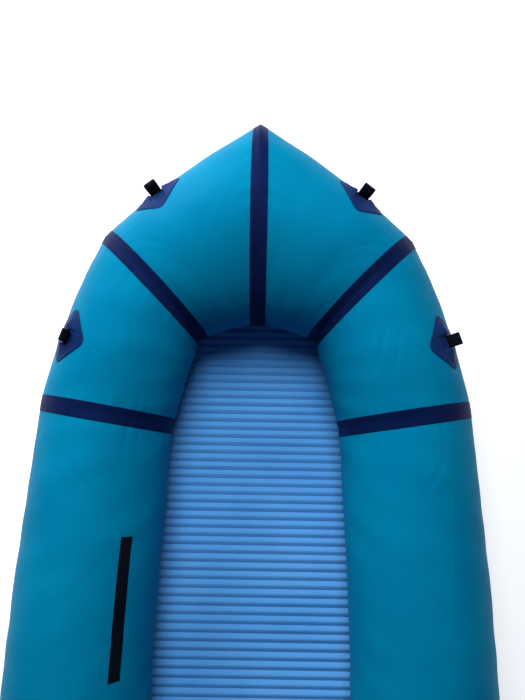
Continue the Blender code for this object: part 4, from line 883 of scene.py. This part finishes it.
def laidPatch(name, place, tree, outline, rings, thickness, lift=None, hole=0.0):
    # a patch that follows the tube inside an outline drawn in the frame's XY plane
    above, rimShare, rimThin, crowding = 0.06, 0.985, 0.55, 0.9
    outward = place.to_3x3().col[2]
    spread = np.linspace(0, 1, rings + 1)[1:] ** crowding
    rows = []
    for top, shares in ((True, spread), (False, spread[::-1])):
        for share in shares:
            rows.append([])
            for x, y in outline:
                reach, k = hypot(x, y), share
                if hole:
                    k = (hole + (reach - hole) * (share - spread[0]) / (1 - spread[0])) / reach
                at = moved((x * k, y * k, above), place)
                hit, normal = tree.ray_cast(Vector(at), -outward)[:2]
                if normal.dot(outward) < 0:
                    normal = -normal
                height = gap * 2 + (lift(x * k, y * k) if lift else 0)
                if top:
                    height += thickness * (1 if share < rimShare else rimThin)
                rows[-1].append(np.array(hit) + np.array(normal) * height)
    flat = np.concatenate([spread, spread[::-1]])
    uv = flat[:, None, None] * np.concatenate([outline, outline[:1]])[None]
    return stands(gridBody(name, rows, "patchFabric", closeRows=bool(hole), uv=uv, sharpAbove=60))


def tentLift(x, y):
    # the patch pulled up fore and aft of the loop, falling away to its corners
    reach = max(0.0, abs(x) - tieDown["tentFrom"])
    ridge = smoothRise(reach / 0.004) * (1 - smoothRise(reach / tieDown["tentLength"]))
    return float(tieDown["tent"] * ridge * exp(-(abs(y) / tieDown["tentWidth"]) ** 1.2))


def loopRows(place):
    # webbing once round a teardrop, with its ends together in the root
    low, high, thick = tieDown["rootRadius"], tieDown["topRadius"], tieDown["webbing"]
    top = tieDown["height"] - high
    tilt = asin((high - low) / top)
    arcs = ((high - thick / 2, top, np.linspace(-tilt, pi + tilt, 25)),
            (low - thick / 2, 0, np.linspace(pi + tilt, 2 * pi - tilt, 9)))
    path = np.array([(r * cos(t), middle + r * sin(t)) for r, middle, turns in arcs for t in turns])
    dense = []
    for a, b in zip(path, np.roll(path, -1, 0)):
        steps = max(1, int(norm(b - a) / tieDown["step"]))
        dense += [a + (b - a) * k / steps for k in range(steps)]
    dense = np.array(dense)
    dense[:, 0] *= 1 + tieDown["wobble"] * np.sin(np.linspace(0, 4 * pi, len(dense)))
    way = unit(np.roll(dense, -1, 0) - np.roll(dense, 1, 0))
    turn, origin = np.array(place)[:3, :3], np.array(place)[:3, 3]
    centres = [origin + turn @ (0, y, z) for y, z in dense]
    normals = [turn @ (0, b, -a) for a, b in way]
    return stripRows(centres, [turn @ (1, 0, 0)] * len(centres), normals, thick, tieDown["width"] / 2)


def diamond():
    reach, full = tieDown["halfSpan"], tieDown["fullness"]
    quarter = [(reach, 0), (reach / 2 + full, reach / 2 + full), (0, reach), (-reach / 2 - full, reach / 2 + full)]
    path = softened(quarter + [(-x, -y) for x, y in quarter], tieDown["corner"], closed=True, steps=6)
    return outlineAt(path, tieDown["outline"])


stitching = stitchTree("webbing")
tieOutline = diamond()


def makeTieDown(spot, share, angle, label, side):
    base = surfaceFrame(spot, share, angle, side)
    patch = laidPatch(f"{spot}Patch{label}", base, panelTree(spot, side), tieOutline, tieDown["rings"],
                      tieDown["thickness"], tentLift)
    origin, xAxis, zAxis = loopFrames[spot + label]
    # the root stands clear of the patch's top, which is the real, rounded one here
    top = BVHTree.FromPolygons([v.co for v in patch.data.vertices], [p.vertices for p in patch.data.polygons])
    normal = base.to_3x3().col[2]
    hit = top.ray_cast(Vector(origin) + normal * tieDown["rayFrom"], -normal)[0]
    rise = tieDown["rootRadius"] + gap - (Vector(origin) - hit).dot(normal)
    place = frameAt(Vector(origin) + normal * rise, xAxis, zAxis)
    rows, uv = loopRows(place)
    loop = stands(gridBody(f"{spot}Loop{label}", rows, "webbing", closeRows=True, uv=uv))
    half, out, up = tieDown["tackAt"]
    across = [[tuple(place @ Vector((x, y, up))) for x in np.linspace(-half, half, 8)] for y in (-out, out)]
    tack = grown(f"{spot}LoopTack{label}", pathMesh("tack", across), stitching, tieDown["tack"], "webbing")
    stands(tack, nodeName(loop.name))


for spot, (share, angle) in tiePlaces.items():
    for label, side in sides.items():
        makeTieDown(spot, share, angle, label, side)
print("tie-downs: six patches and loops")


# Bare dark strip on the port side tube

printStrip = {"from": 0.226, "to": 0.481, "low": 126.3, "high": 136.0, "lift": 0.0004, "thickness": 0.0003}


def makePrintStrip():
    s = printStrip
    angles = np.radians(np.linspace(s["low"], s["high"], 13))
    shares = np.linspace(s["from"], s["to"], 60)[:, None]
    faces = [face("side", shares, row[None], -1, lift)
             for row, lift in ((angles, s["lift"] + s["thickness"]), (angles[::-1], s["lift"]))]
    arcs = np.concatenate([angles, angles[::-1], angles[:1]]) * tubeRadius
    uv = uvGrid(arcs[None], shares * panels["side"]["length"])
    stands(gridBody("bareStrip", np.concatenate(faces, 1), "stripPrint", uv=uv))


makePrintStrip()


# Main valve

def makeMainValve():
    v = SimpleNamespace(**mainValve)
    tree, down = panelTree("quarter", -1), -onTube.to_3x3().col[2]
    circle = np.array([(v.patchRadius * cos(t), v.patchRadius * sin(t)) for t in allRound(96)])
    laidPatch("valvePatch", onTube, tree, circle, 14, skin["tape"], hole=neckHole)

    def conform(rows):
        # the flange's foot lies on the tube, and its flank eases into it
        out = rows.copy()
        for at in np.ndindex(rows.shape[:2]):
            x, y, z = rows[at]
            if z < v.bootTall:
                hit = tree.ray_cast(Vector(moved((x, y, 0.05), onTube)), down)[0]
                out[at][2] = z + (onTube.inverted() @ hit).z + 0.0013
        return out

    section = [(neckHole, 0), (v.bootRadius, 0), (v.bootRadius - 0.0005, 0.0009), (v.bootRadius - 0.006, 0.0016),
               (v.rimRadius + 0.003, 0.0060), (neckHole, v.bootHeight)]
    stands(turnedBody("valveBoot", section, onTube, 96, 0.0012, "tubeFabric", push=conform))

    place = onTube @ shift(z=v.bootHeight + gap)
    section = [(neckHole, 0), (v.leashRadius, 0), (v.leashRadius, v.leash), (neckHole, v.leash)]
    ring = turnedBody("leashRing", section, place, 64, 0.0004)
    inner, outer = v.leashRadius - 0.002, v.capRadius + v.hingeReach - gap
    tab = roundedBox("leashTab", (outer - inner, v.hingeWidth, v.leash), v.boxEdge,
                     place @ shift((outer + inner) / 2, 0, v.leash / 2))
    stands(joined("valveCapLeash", [ring, tab]))

    inside, foot, top = v.neckRadius - v.wall, -v.seatHeight - v.neckDepth, v.rimHeight
    section = [(inside, foot), (v.neckRadius, foot), (v.neckRadius, 0), (v.rimRadius, 0),
               (v.rimRadius, top * 0.30), (v.rimRadius - 0.0009, top * 0.42), (v.rimRadius, top * 0.55),
               (v.rimRadius, top), (inside + 0.0025, top), (inside, top - 0.0018)]
    middle, bore = -v.spiderDepth + v.spider / 2, v.stemRadius + 0.0004
    hub = [(bore, middle - 0.0016), (v.hubRadius, middle - 0.0016), (v.hubRadius, middle + 0.0011),
           (bore, middle + 0.0011)]
    parts = [turnedBody("valveNeck", section, v.rim, 96, 0.0005), turnedBody("valveHub", hub, v.rim, 40, 0.0004)]
    arm = (inside - v.hubRadius + 0.0016, v.hubRadius * 0.62, v.spider)
    for turn in range(4):
        place = v.rim @ Matrix.Rotation(turn * pi / 2, 4, "Z") @ shift((inside + v.hubRadius) / 2, 0, middle)
        parts.append(roundedBox("valveArm", arm, v.boxEdge, place))
    stands(joined("valveBody", parts))

    foot, button = foot - gap, top - gap
    section = [(v.neckRadius - 0.0004, foot - v.disc), (v.neckRadius, foot - v.disc * 0.6),
               (v.neckRadius, foot), (v.stemRadius, foot), (v.stemRadius, button - v.buttonHeight),
               (v.buttonRadius, button - v.buttonHeight), (v.buttonRadius, button),
               (v.buttonRadius * 0.5, button - 0.0004)]
    stands(turnedBody("valvePlunger", section, v.rim, 48, 0.0005, ring=False))

    low = v.spider - v.spiderDepth + v.wire + gap
    high = button - v.buttonHeight - v.wire - gap
    rows, up, end = [], np.array([0, 0, 1.0]), 2 * pi * v.springTurns
    for turn in np.linspace(0, end, 120):
        radial = np.array([cos(turn), sin(turn), 0])
        p = v.springRadius * radial + up * (low + (high - low) * turn / end)
        rows.append([p + v.wire * (radial * cos(a) + up * sin(a)) for a in allRound(10)])
    spring = stands(gridBody("valveSpring", moved(rows, v.rim), "springSteel"))
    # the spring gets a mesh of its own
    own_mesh(spring)

    skirt, over, side, height = v.rimRadius + gap, top + gap, v.capRadius - v.capWall, v.capHeight
    section = [(v.capMouth, over), (skirt, over), (skirt, gap), (side, gap), (side, height - 0.0030),
               (v.capRadius - 0.0036, height - 0.0006), (v.capRadius - 0.0080, height - 0.0002),
               (v.capRadius - 0.0095, height - 0.0012), (v.capMouth, height - 0.0012)]
    dome = turnedBody("capDome", section, v.rim, 96, 0.0008, ring=False)
    ribs = grown("capRibs", bpy.data.meshes.new("nothing"), gripTree("valvePlastic"), {**v.ribs, "Radius": side},
                 "valvePlastic", v.rim @ shift(z=v.ribMiddle))
    ear = roundedBox("capEar", (v.hingeReach + 0.002, v.hingeWidth, v.leash), v.boxEdge,
                     v.rim @ shift(v.capRadius + v.hingeReach / 2 - 0.001, 0, gap + v.leash / 2))
    stands(joined("valveCap", [dome, ribs, ear]))


makeMainValve()
print("main valve: seven pieces")


# Mouth valves

mouth = {"baseRadius": 0.0130, "base": 0.0020, "stemRadius": 0.0060, "stem": 0.0180, "bore": 0.0032,
         "tipRadius": 0.0092, "tipLength": 0.0160, "tipBore": 0.0022, "wall": 0.0020, "flutes": 12,
         "fluteDepth": 0.0011, "fluteFrom": 0.0066, "fluteRun": 0.0016}
mouthFrames = {     # body, place, and how deep the stem's foot goes
    "topoff": ("hull", topoffValve, 0.0028),
    "seat": ("hull", frameAt((-0.126281, -0.256641, 0.110120), (1, 0, 0), (-0.186506, 0.296916, 0.936513)), 0.006),
    "backrest": ("backrest", frameAt((0.041205, -0.635705, 0.386733), (1, 0, 0),
                                     (0.008138, -0.993709, 0.111692)), 0.006),
}


def fluted(rows):
    # grooves round the grip
    out = rows.copy()
    reach = norm(rows[..., :2], axis=-1)
    wave = np.abs(np.sin(np.arctan2(rows[..., 1], rows[..., 0]) * mouth["flutes"] / 2)) ** 3
    wide = smoothRise((reach - mouth["fluteFrom"]) / mouth["fluteRun"])
    out[..., :2] *= (1 - mouth["fluteDepth"] * wave * wide / np.maximum(reach, 0.001))[..., None]
    return out


def makeMouthValve(name, body, place, depth):
    m = SimpleNamespace(**mouth)
    section = [(m.bore, -depth), (m.stemRadius, -depth), (m.stemRadius, 0), (m.baseRadius, 0),
               (m.baseRadius, m.base * 0.6), (m.baseRadius - 0.002, m.base), (m.stemRadius + 0.001, m.base),
               (m.stemRadius, m.base + 0.001), (m.stemRadius, m.stem), (m.bore, m.stem)]
    stands(turnedBody(f"{name}ValveStem", section, place, 56, 0.0005), body)
    inside, foot, roof = m.stemRadius + gap, m.stem - m.tipLength / 2, m.stem + gap
    top, lip = foot + m.tipLength, m.tipBore + m.wall
    section = [(m.tipBore, roof), (inside, roof), (inside, foot), (m.tipRadius - 0.0004, foot),
               (m.tipRadius, foot + 0.0008), (m.tipRadius, roof - 0.0016), (m.tipRadius - 0.0016, roof),
               (lip + 0.0006, roof + 0.0016), (lip, roof + 0.0030), (lip, top), (m.tipBore, top)]
    stands(turnedBody(f"{name}Mouthpiece", section, place, 144, 0.0005, "mouthPlastic", push=fluted))


for valveName, values in mouthFrames.items():
    makeMouthValve(valveName, *values)
print("mouth valves: three")


# Seat and backrest cushions: blown up by a cloth simulation, then welded into channels

cushions = {
    "seat": {"place": frameAt((0, -0.375, 0.0866), (1, 0, 0), (0, 0, 1)), "half": (0.170, 0.150),
             "rise": 0.044, "drop": 0.032, "body": "hull"},
    "backrest": {"place": frameAt((0, -0.585442, 0.278477), (-1, 0, 0), (0, 0.97437, 0.224951)),
                 "half": (0.165, 0.150), "rise": 0.036, "drop": 0.036, "body": "backrest"},
}
blowing = {"steps": 34, "voxel": 0.0055, "frames": 20, "pressure": 4.0, "cap": 0.010, "startShare": 0.74,
           "startSpan": 0.985, "drawIn": 0.04, "crown": 3.2, "rimShare": 0.93, "rimHeight": 0.006}
welding = {"channels": 4, "depth": 0.42, "width": 0.011, "pucker": 0.0006, "puckerPitch": 520,
           "puckerReach": 0.014, "endShare": 0.90, "endRun": 0.10, "rimRipple": 0.0008, "rimCycles": 46,
           "flange": 0.006, "flangeThickness": 0.0014, "flangeIn": 0.014, "flangeEdge": 0.0005,
           "flangeWaves": ((0.0006, 41, 0), (0.0004, 67, 1)), "cornerCut": 0.028, "valveFlat": 0.014,
           "valveLift": 0.0008, "valveNear": 0.03, "topShare": 0.99, "bottomShare": 0.985}


def rimDraw(u, v):
    # the sides pull in between the corners
    return 1 - blowing["drawIn"] * (1 - v * v) * u * u, 1 - blowing["drawIn"] * (1 - u * u) * v * v


def startPad(name, spec):
    b = SimpleNamespace(**blowing)
    line = np.sin(pi / 2 * np.linspace(-1, 1, b.steps + 1))
    points, faces, index = [], [], {}
    for layer, height in enumerate((spec["rise"], -spec["drop"])):
        for i, u in enumerate(line):
            for j, v in enumerate(line):
                if layer and (i in (0, b.steps) or j in (0, b.steps)):
                    index[layer, i, j] = index[0, i, j]
                    continue
                index[layer, i, j] = len(points)
                ax, ay = rimDraw(u, v)
                crown = np.sqrt(max(0, (1 - abs(u) ** b.crown) * (1 - abs(v) ** b.crown)))
                points.append((u * spec["half"][0] * ax * b.startSpan, v * spec["half"][1] * ay * b.startSpan,
                               height * crown * b.startShare))
        for i, j in np.ndindex(b.steps, b.steps):
            quad = [index[layer, *at] for at in ((i, j), (i + 1, j), (i + 1, j + 1), (i, j + 1))]
            faces.append(quad[::-1] if layer else quad)
    return addPiece(name, meshOf(name, points, faces=faces), "cushionFabric", 180)


def pointsOf(mesh):
    table = np.empty(len(mesh.vertices) * 3)
    mesh.vertices.foreach_get("co", table)
    return table.reshape(-1, 3)


def blowUp(pad, spec):
    # voxel remesh, then cloth pressure; each point moves no further than the cap
    scene, b = bpy.context.scene, SimpleNamespace(**blowing)
    remesh = pad.modifiers.new("voxels", "REMESH")
    remesh.mode, remesh.voxel_size = "VOXEL", b.voxel
    pad = settled(pad, "cushionFabric", sharpAbove=180)
    before = pointsOf(pad.data)
    edge = np.abs(before[:, :2] / spec["half"]).max(1)
    pins = pad.vertex_groups.new(name="rim")
    pins.add(np.nonzero((edge > b.rimShare) & (np.abs(before[:, 2]) < b.rimHeight))[0].tolist(), 1.0, "ADD")
    cloth = pad.modifiers.new("cloth", "CLOTH")
    cloth.settings.use_pressure = True
    cloth.settings.uniform_pressure_force = b.pressure
    cloth.settings.effector_weights.gravity = 0
    cloth.settings.quality = 6
    cloth.settings.vertex_group_mass = "rim"
    cloth.point_cache.frame_start, cloth.point_cache.frame_end = 1, b.frames
    for step in range(1, b.frames + 1):
        scene.frame_set(step)
    graph = bpy.context.evaluated_depsgraph_get()
    move = pointsOf(pad.evaluated_get(graph).to_mesh()) - before
    pad.modifiers.clear()
    scene.frame_set(1)
    far = norm(move, axis=1, keepdims=True)
    print("cushion sim: moved", round(float(far.mean()) * 1000, 1), "mm on average before the cap")
    pad.data.vertices.foreach_set("co", (before + move * np.minimum(1, b.cap / np.maximum(far, 1e-9))).ravel())
    pad.vertex_groups.clear()
    return pad


def weldChannels(points, spec):
    # lines welded through the cushion, puckered across, and the height kept in the cushion's own box
    w = SimpleNamespace(**welding)
    u, v = points[:, 0] / spec["half"][0], points[:, 1] / spec["half"][1]
    depth, ends = np.zeros(len(points)), smoothRise((w.endShare - np.abs(v)) / w.endRun)
    for k in range(1, w.channels):
        away = np.abs(points[:, 0] - (2 * k / w.channels - 1) * spec["half"][0])
        depth = np.maximum(depth, np.exp(-(away / w.width) ** 1.5) * ends)
        pucker = np.sin(points[:, 1] * w.puckerPitch + k) * np.exp(-(away / w.puckerReach) ** 2) * ends * w.pucker
        points[:, 2] += pucker * np.sign(points[:, 2])
    turn = np.arctan2(v, u)
    creased = np.exp(-((1 - np.maximum(np.abs(u), np.abs(v))) / w.endRun) ** 2)
    waves = np.sin(turn * w.rimCycles + 3 * np.sin(turn * 5))
    points[:, 2] *= 1 - w.depth * depth
    points[:, 2] += waves * creased * w.rimRipple * np.sign(points[:, 2])
    top, bottom = spec["rise"] * w.topShare, spec["drop"] * w.bottomShare
    high, low = points[:, 2].max(), -points[:, 2].min()
    points[:, 2] = np.where(points[:, 2] > 0, points[:, 2] * top / high, points[:, 2] * bottom / low)
    return points


def holdFlat(points, local):
    # the fabric is held flat under the valve's base
    w, origin, axis = SimpleNamespace(**welding), local[:3, 3], local[:3, 2]
    away = points - origin
    height = away @ axis
    off = norm(away - height[:, None] * axis, axis=1)
    facing = (np.abs(height) < w.valveNear) * (np.sign(points[:, 2]) == np.sign(axis[2]))
    held = (1 - smoothRise((off - w.valveFlat) / w.valveFlat)) * facing
    return points + axis * (held * (w.valveLift - height))[:, None]


def weldedRim(name, spec):
    # flat welded rim round the cushion's seam
    w = SimpleNamespace(**welding)
    turns, outline = allRound(220), []
    for c, s in ((cos(t), sin(t)) for t in turns):
        reach = 1 / max(abs(c), abs(s))
        u, v = c * reach, s * reach
        corner = 1 - w.cornerCut * (min(abs(u), abs(v)) ** 6)
        ax, ay = rimDraw(u, v)
        outline.append((u * spec["half"][0] * ax * corner, v * spec["half"][1] * ay * corner))
    outline = np.array(outline)
    outward = np.roll(outline, -1, 0) - np.roll(outline, 1, 0)
    outward = unit(np.stack([outward[:, 1], -outward[:, 0]], -1))
    half = w.flangeThickness / 2
    side = [(-w.flangeIn, half * 0.6), (-0.004, half), (w.flange - w.flangeEdge, half)]
    section = side + [(w.flange, 0)] + [(x, -z) for x, z in side[::-1]]
    wave = sum(high * np.sin(turns * cycles + phase) for high, cycles, phase in w.flangeWaves)
    rows = [[(*(p + o * x), z + lift * (x > 0)) for p, o, lift in zip(outline, outward, wave)] for x, z in section]
    rim = gridBody(f"{name}CushionRim", moved(rows, spec["place"]), "cushionFabric", closeRows=True)
    stands(rim, spec["body"])


def makeCushion(name):
    spec = cushions[name]
    pad = blowUp(startPad(f"{name}Cushion", spec), spec)
    finer = pad.modifiers.new("finer", "SUBSURF")
    finer.levels = finer.render_levels = 1
    pad = settled(pad, "cushionFabric", sharpAbove=180)
    points = weldChannels(pointsOf(pad.data), spec)
    points = holdFlat(points, np.array(spec["place"].inverted() @ mouthFrames[name][1]))
    pad.data.vertices.foreach_set("co", points.ravel())
    at = np.empty(len(pad.data.loops), int)
    pad.data.loops.foreach_get("vertex_index", at)
    pad.data.uv_layers.new(name="cloth").data.foreach_set("uv", points[at][:, :2].ravel())
    pad.data.transform(spec["place"])
    pad.data.update()
    stands(pad, spec["body"])
    weldedRim(name, spec)


for cushionName in cushions:
    makeCushion(cushionName)
print("seat and backrest: two cushions")


# Hinge strip, backrest straps, their anchor patches and sliders

hingeStrip = {"low": (0, -0.5230, 0.0866), "bend": (0, -0.5400, 0.0980), "pivot": (0, -0.5490, 0.1206),
              "over": (0, -0.5510, 0.1264), "high": (0, -0.5517, 0.1323), "halfWidth": 0.060, "thickness": 0.0012}
straps = {"sewn": ((0.25025, -0.29249, 0.25147), (0.24917, -0.32247, 0.25173)),
          "leave": (0.24852, -0.34045, 0.25188), "start": (0.24414, -0.35682, 0.25795),
          "end": (0.18305, -0.58527, 0.34257), "arrive": (0.17867, -0.60164, 0.34863),
          "rim": (0.16067, -0.60164, 0.34863), "sewnWidth": (0.70429, -0.01933, 0.70965),
          "rimWidth": (0.0, -0.22495, 0.97437), "slider": (0.239035, -0.375926, 0.265021),
          "way": (-0.243245, -0.909565, 0.336933), "face": (0.6413, -0.411419, -0.647664),
          "sliderReach": 0.054, "halfWidth": 0.010, "thickness": 0.0016, "turnRows": (26, 53),
          "share": 0.77, "angle": 128.0, "patch": (0.045, 0.028), "patchCorner": 0.012,
          "stitches": {"Pitch": 0.0030, "Length": 0.0021, "Thread": 0.0008}, "stitchReach": 0.0075}
slider = {"wall": 0.0028, "length": 0.022, "slot": (0.0003, 0.0011), "edge": 0.94, "bar": (0.0026, 0.0016, 0.0006),
          "bars": (-0.006, 0.0, 0.006)}


def curvePoints(a, b, c, steps):
    t = np.linspace(0, 1, steps + 1)[:, None]
    a, b, c = (np.array(p) for p in (a, b, c))
    return (1 - t) ** 2 * a + 2 * t * (1 - t) * b + t * t * c


def strapRibbon(name, points, widths, halfWidth, thickness, finish):
    points = np.array(points)
    ways = unit(np.gradient(points, axis=0))
    widths = np.array(widths)
    widths = unit(widths - ways * (widths * ways).sum(1)[:, None])
    normals = np.cross(widths, ways)
    rows, uv = stripRows(points, widths, normals, thickness, halfWidth)
    return gridBody(name, rows, finish, uv=uv), widths[0], normals[2]


def makeHingeStrip():
    h = SimpleNamespace(**hingeStrip)
    points = np.vstack([curvePoints(h.low, h.bend, h.pivot, 8), curvePoints(h.pivot, h.over, h.high, 4)[1:]])
    strip = strapRibbon("backrestHingeStrip", points, [(1, 0, 0)] * len(points), h.halfWidth, h.thickness,
                        "cushionFabric")[0]
    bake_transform(strip)
    finished(strip)


def makeStrap(label, side):
    s = SimpleNamespace(**straps)
    flip = np.array([side, 1, 1])
    near, sewn, leave, start, end, arrive, rim = (np.array(p) * flip for p in (
        *s.sewn, s.leave, s.start, s.end, s.arrive, s.rim))
    points = [*np.linspace(near, sewn, 5)[:-1], *curvePoints(sewn, leave, start, 10)[:-1],
              *np.linspace(start, end, 40)[:-1], *curvePoints(end, arrive, rim, 10)]
    first, last = s.turnRows
    turned = smoothRise((np.arange(len(points)) - first) / (last - first))
    widths = [np.array(s.sewnWidth) * flip * (1 - w) + np.array(s.rimWidth) * flip * w for w in turned]
    strap, width, normal = strapRibbon(f"backrestStrap{label}", points, widths, s.halfWidth, s.thickness, "webbing")
    # the strap stays straight as far as the slider can run
    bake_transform(strap)
    finished(strap)
    base = surfaceFrame("side", s.share, s.angle, side)
    x, y = s.patch
    path = softened([(x, y), (-x, y), (-x, -y), (x, -y)], s.patchCorner, closed=True, steps=6)
    laidPatch(f"strapAnchorPatch{label}", base, panelTree("side", side), outlineAt(path, 96), 12, skin["tape"])
    # box of stitches with a cross on the sewn end
    lift = normal * s.thickness * 0.55
    if lift @ np.array(base.to_3x3().col[2]) < 0:
        lift = -lift
    a, b, c, d = (p + lift + w * width * s.stitchReach for p in (near * 0.9 + sewn * 0.1, sewn) for w in (-1, 1))
    lines = [np.linspace(p, q, 8) for p, q in ((a, b), (b, d), (d, c), (c, a), (a, d), (b, c))]
    stands(grown(f"strapStitches{label}", pathMesh("box", lines), stitching, s.stitches, "webbing"))
    makeSlider(label, frameAt(*(np.array(p) * flip for p in (s.slider, s.way, s.face))))


def makeSlider(label, place):
    # a moulded frame round the strap with bars across its face
    s, half = SimpleNamespace(**slider), straps["halfWidth"]
    tall = straps["thickness"] / 2 + s.wall

    def ring(x, y, radius, steps):
        return outlineAt(softened([(x, y), (-x, y), (-x, -y), (x, -y)], radius, closed=True, steps=steps), 72)
    outer, hole = ring(half + s.wall, tall, 0.0016, 5), ring(half + s.slot[0], s.slot[1], 0.0003, 2)
    rows = [[(x * s.length, *p) for p in path] for x, path in (
        (-0.5, hole), (-0.5, outer * s.edge), (-0.46, outer), (0.46, outer), (0.5, outer * s.edge), (0.5, hole))]
    parts = [gridBody("sliderFrame", moved(rows, place), "valvePlastic", closeRows=True)]
    wide, thick, edge = s.bar
    parts += [roundedBox("sliderBar", (wide, 2 * half, thick), edge, place @ shift(x, 0, tall)) for x in s.bars]
    stands(joined(f"strapSlider{label}", parts))


makeHingeStrip()
for label, side in sides.items():
    makeStrap(label, side)
print("backrest: hinge strip, straps, anchors and sliders")


# Floor, light and camera

studio = {"floorSize": 14.0, "floorDepth": 0.0004, "floorColour": (0.92, 0.92, 0.92), "floorGlow": 0.45,
          "room": (0.55, 0.75, 1.0), "roomStrength": 0.08, "wall": (0.50, 0.51, 0.525), "aim": (0, 0.2, 0.1)}
lamps = {
    "high": {"at": (-0.22, 1.75, 2.25), "power": 56.0, "size": 1.5, "colour": (1.0, 1.0, 1.0)},
    "low": {"at": (-1.5, 2.5, 1.1), "power": 50.0, "size": 1.1, "colour": (1.0, 1.0, 0.96)},
}
photoView = {"at": (0.0111, 0.4133, 1.2859), "pitch": 79.582, "yaw": 0.1856, "roll": 1.179, "focal": 520.0,
             "height": 700.0, "sensor": 36.0}


def makeFloorPlane():
    half = studio["floorSize"] / 2
    corners = [(-half, -half, 0), (half, -half, 0), (half, half, 0), (-half, half, 0)]
    mesh = meshOf("paleFloor", corners, faces=[(0, 1, 2, 3)])
    mesh.transform(shift(z=-studio["floorDepth"]))
    material, tree, shader, place = newMaterial("paleFloor")
    for label, value in (("Base Color", (*studio["floorColour"], 1)), ("Specular IOR Level", 0.2),
                         ("Emission Color", (1, 1, 1, 1)), ("Emission Strength", studio["floorGlow"])):
        shader[label].default_value = value
    tree.links.new(ranged(tree, noise(tree, place, "scuff"), 0.0, 1.0, 0.80, 0.92), shader["Roughness"])
    mesh.materials.append(material)
    linked("paleFloor", mesh)


def makeLamp(name, at, power, size, colour):
    data = bpy.data.lights.new(name, "AREA")
    data.shape, data.size, data.energy, data.color = "DISK", size, power, colour
    light = linked(name, data)
    light.location = at
    light.rotation_mode = "QUATERNION"
    light.rotation_quaternion = (Vector(studio["aim"]) - Vector(at)).to_track_quat("-Z", "Y")


def makeRoom():
    world = bpy.data.worlds.new("softRoom")
    world.use_nodes = True
    tree = world.node_tree
    back = tree.nodes["Background"]
    back.inputs[0].default_value = (*studio["room"], 1)
    back.inputs[1].default_value = studio["roomStrength"]
    # what shows beyond the floor is as pale as the floor's far end
    pale = outOf(tree, "ShaderNodeBackground", {"Color": (*studio["wall"], 1)})
    seen = addNode(tree, "ShaderNodeLightPath").outputs["Is Camera Ray"]
    mixed = outOf(tree, "ShaderNodeMixShader", {0: seen, 1: back.outputs[0], 2: pale})
    tree.links.new(mixed, tree.nodes["World Output"].inputs["Surface"])
    bpy.context.scene.world = world
    bpy.context.scene.view_settings.view_transform = "Standard"


def makeCamera():
    v = SimpleNamespace(**photoView)
    pitch, yaw, roll = radians(v.pitch), radians(v.yaw), radians(v.roll)
    ahead = Vector((sin(yaw) * cos(pitch), cos(yaw) * cos(pitch), -sin(pitch)))
    up = Vector((sin(yaw) * sin(pitch), cos(yaw) * sin(pitch), cos(pitch)))
    right = ahead.cross(up)
    data = bpy.data.cameras.new("photoView")
    data.sensor_fit, data.sensor_width = "AUTO", v.sensor
    data.lens = v.focal * v.sensor / v.height
    camera = linked("photoView", data)
    camera.matrix_world = shift(*v.at) @ Matrix((right * cos(roll) + up * sin(roll),
                                                 up * cos(roll) - right * sin(roll), -ahead)).transposed().to_4x4()
    bpy.context.scene.camera = camera


makeFloorPlane()
for lampName, values in lamps.items():
    makeLamp(lampName, **values)
makeRoom()
makeCamera()
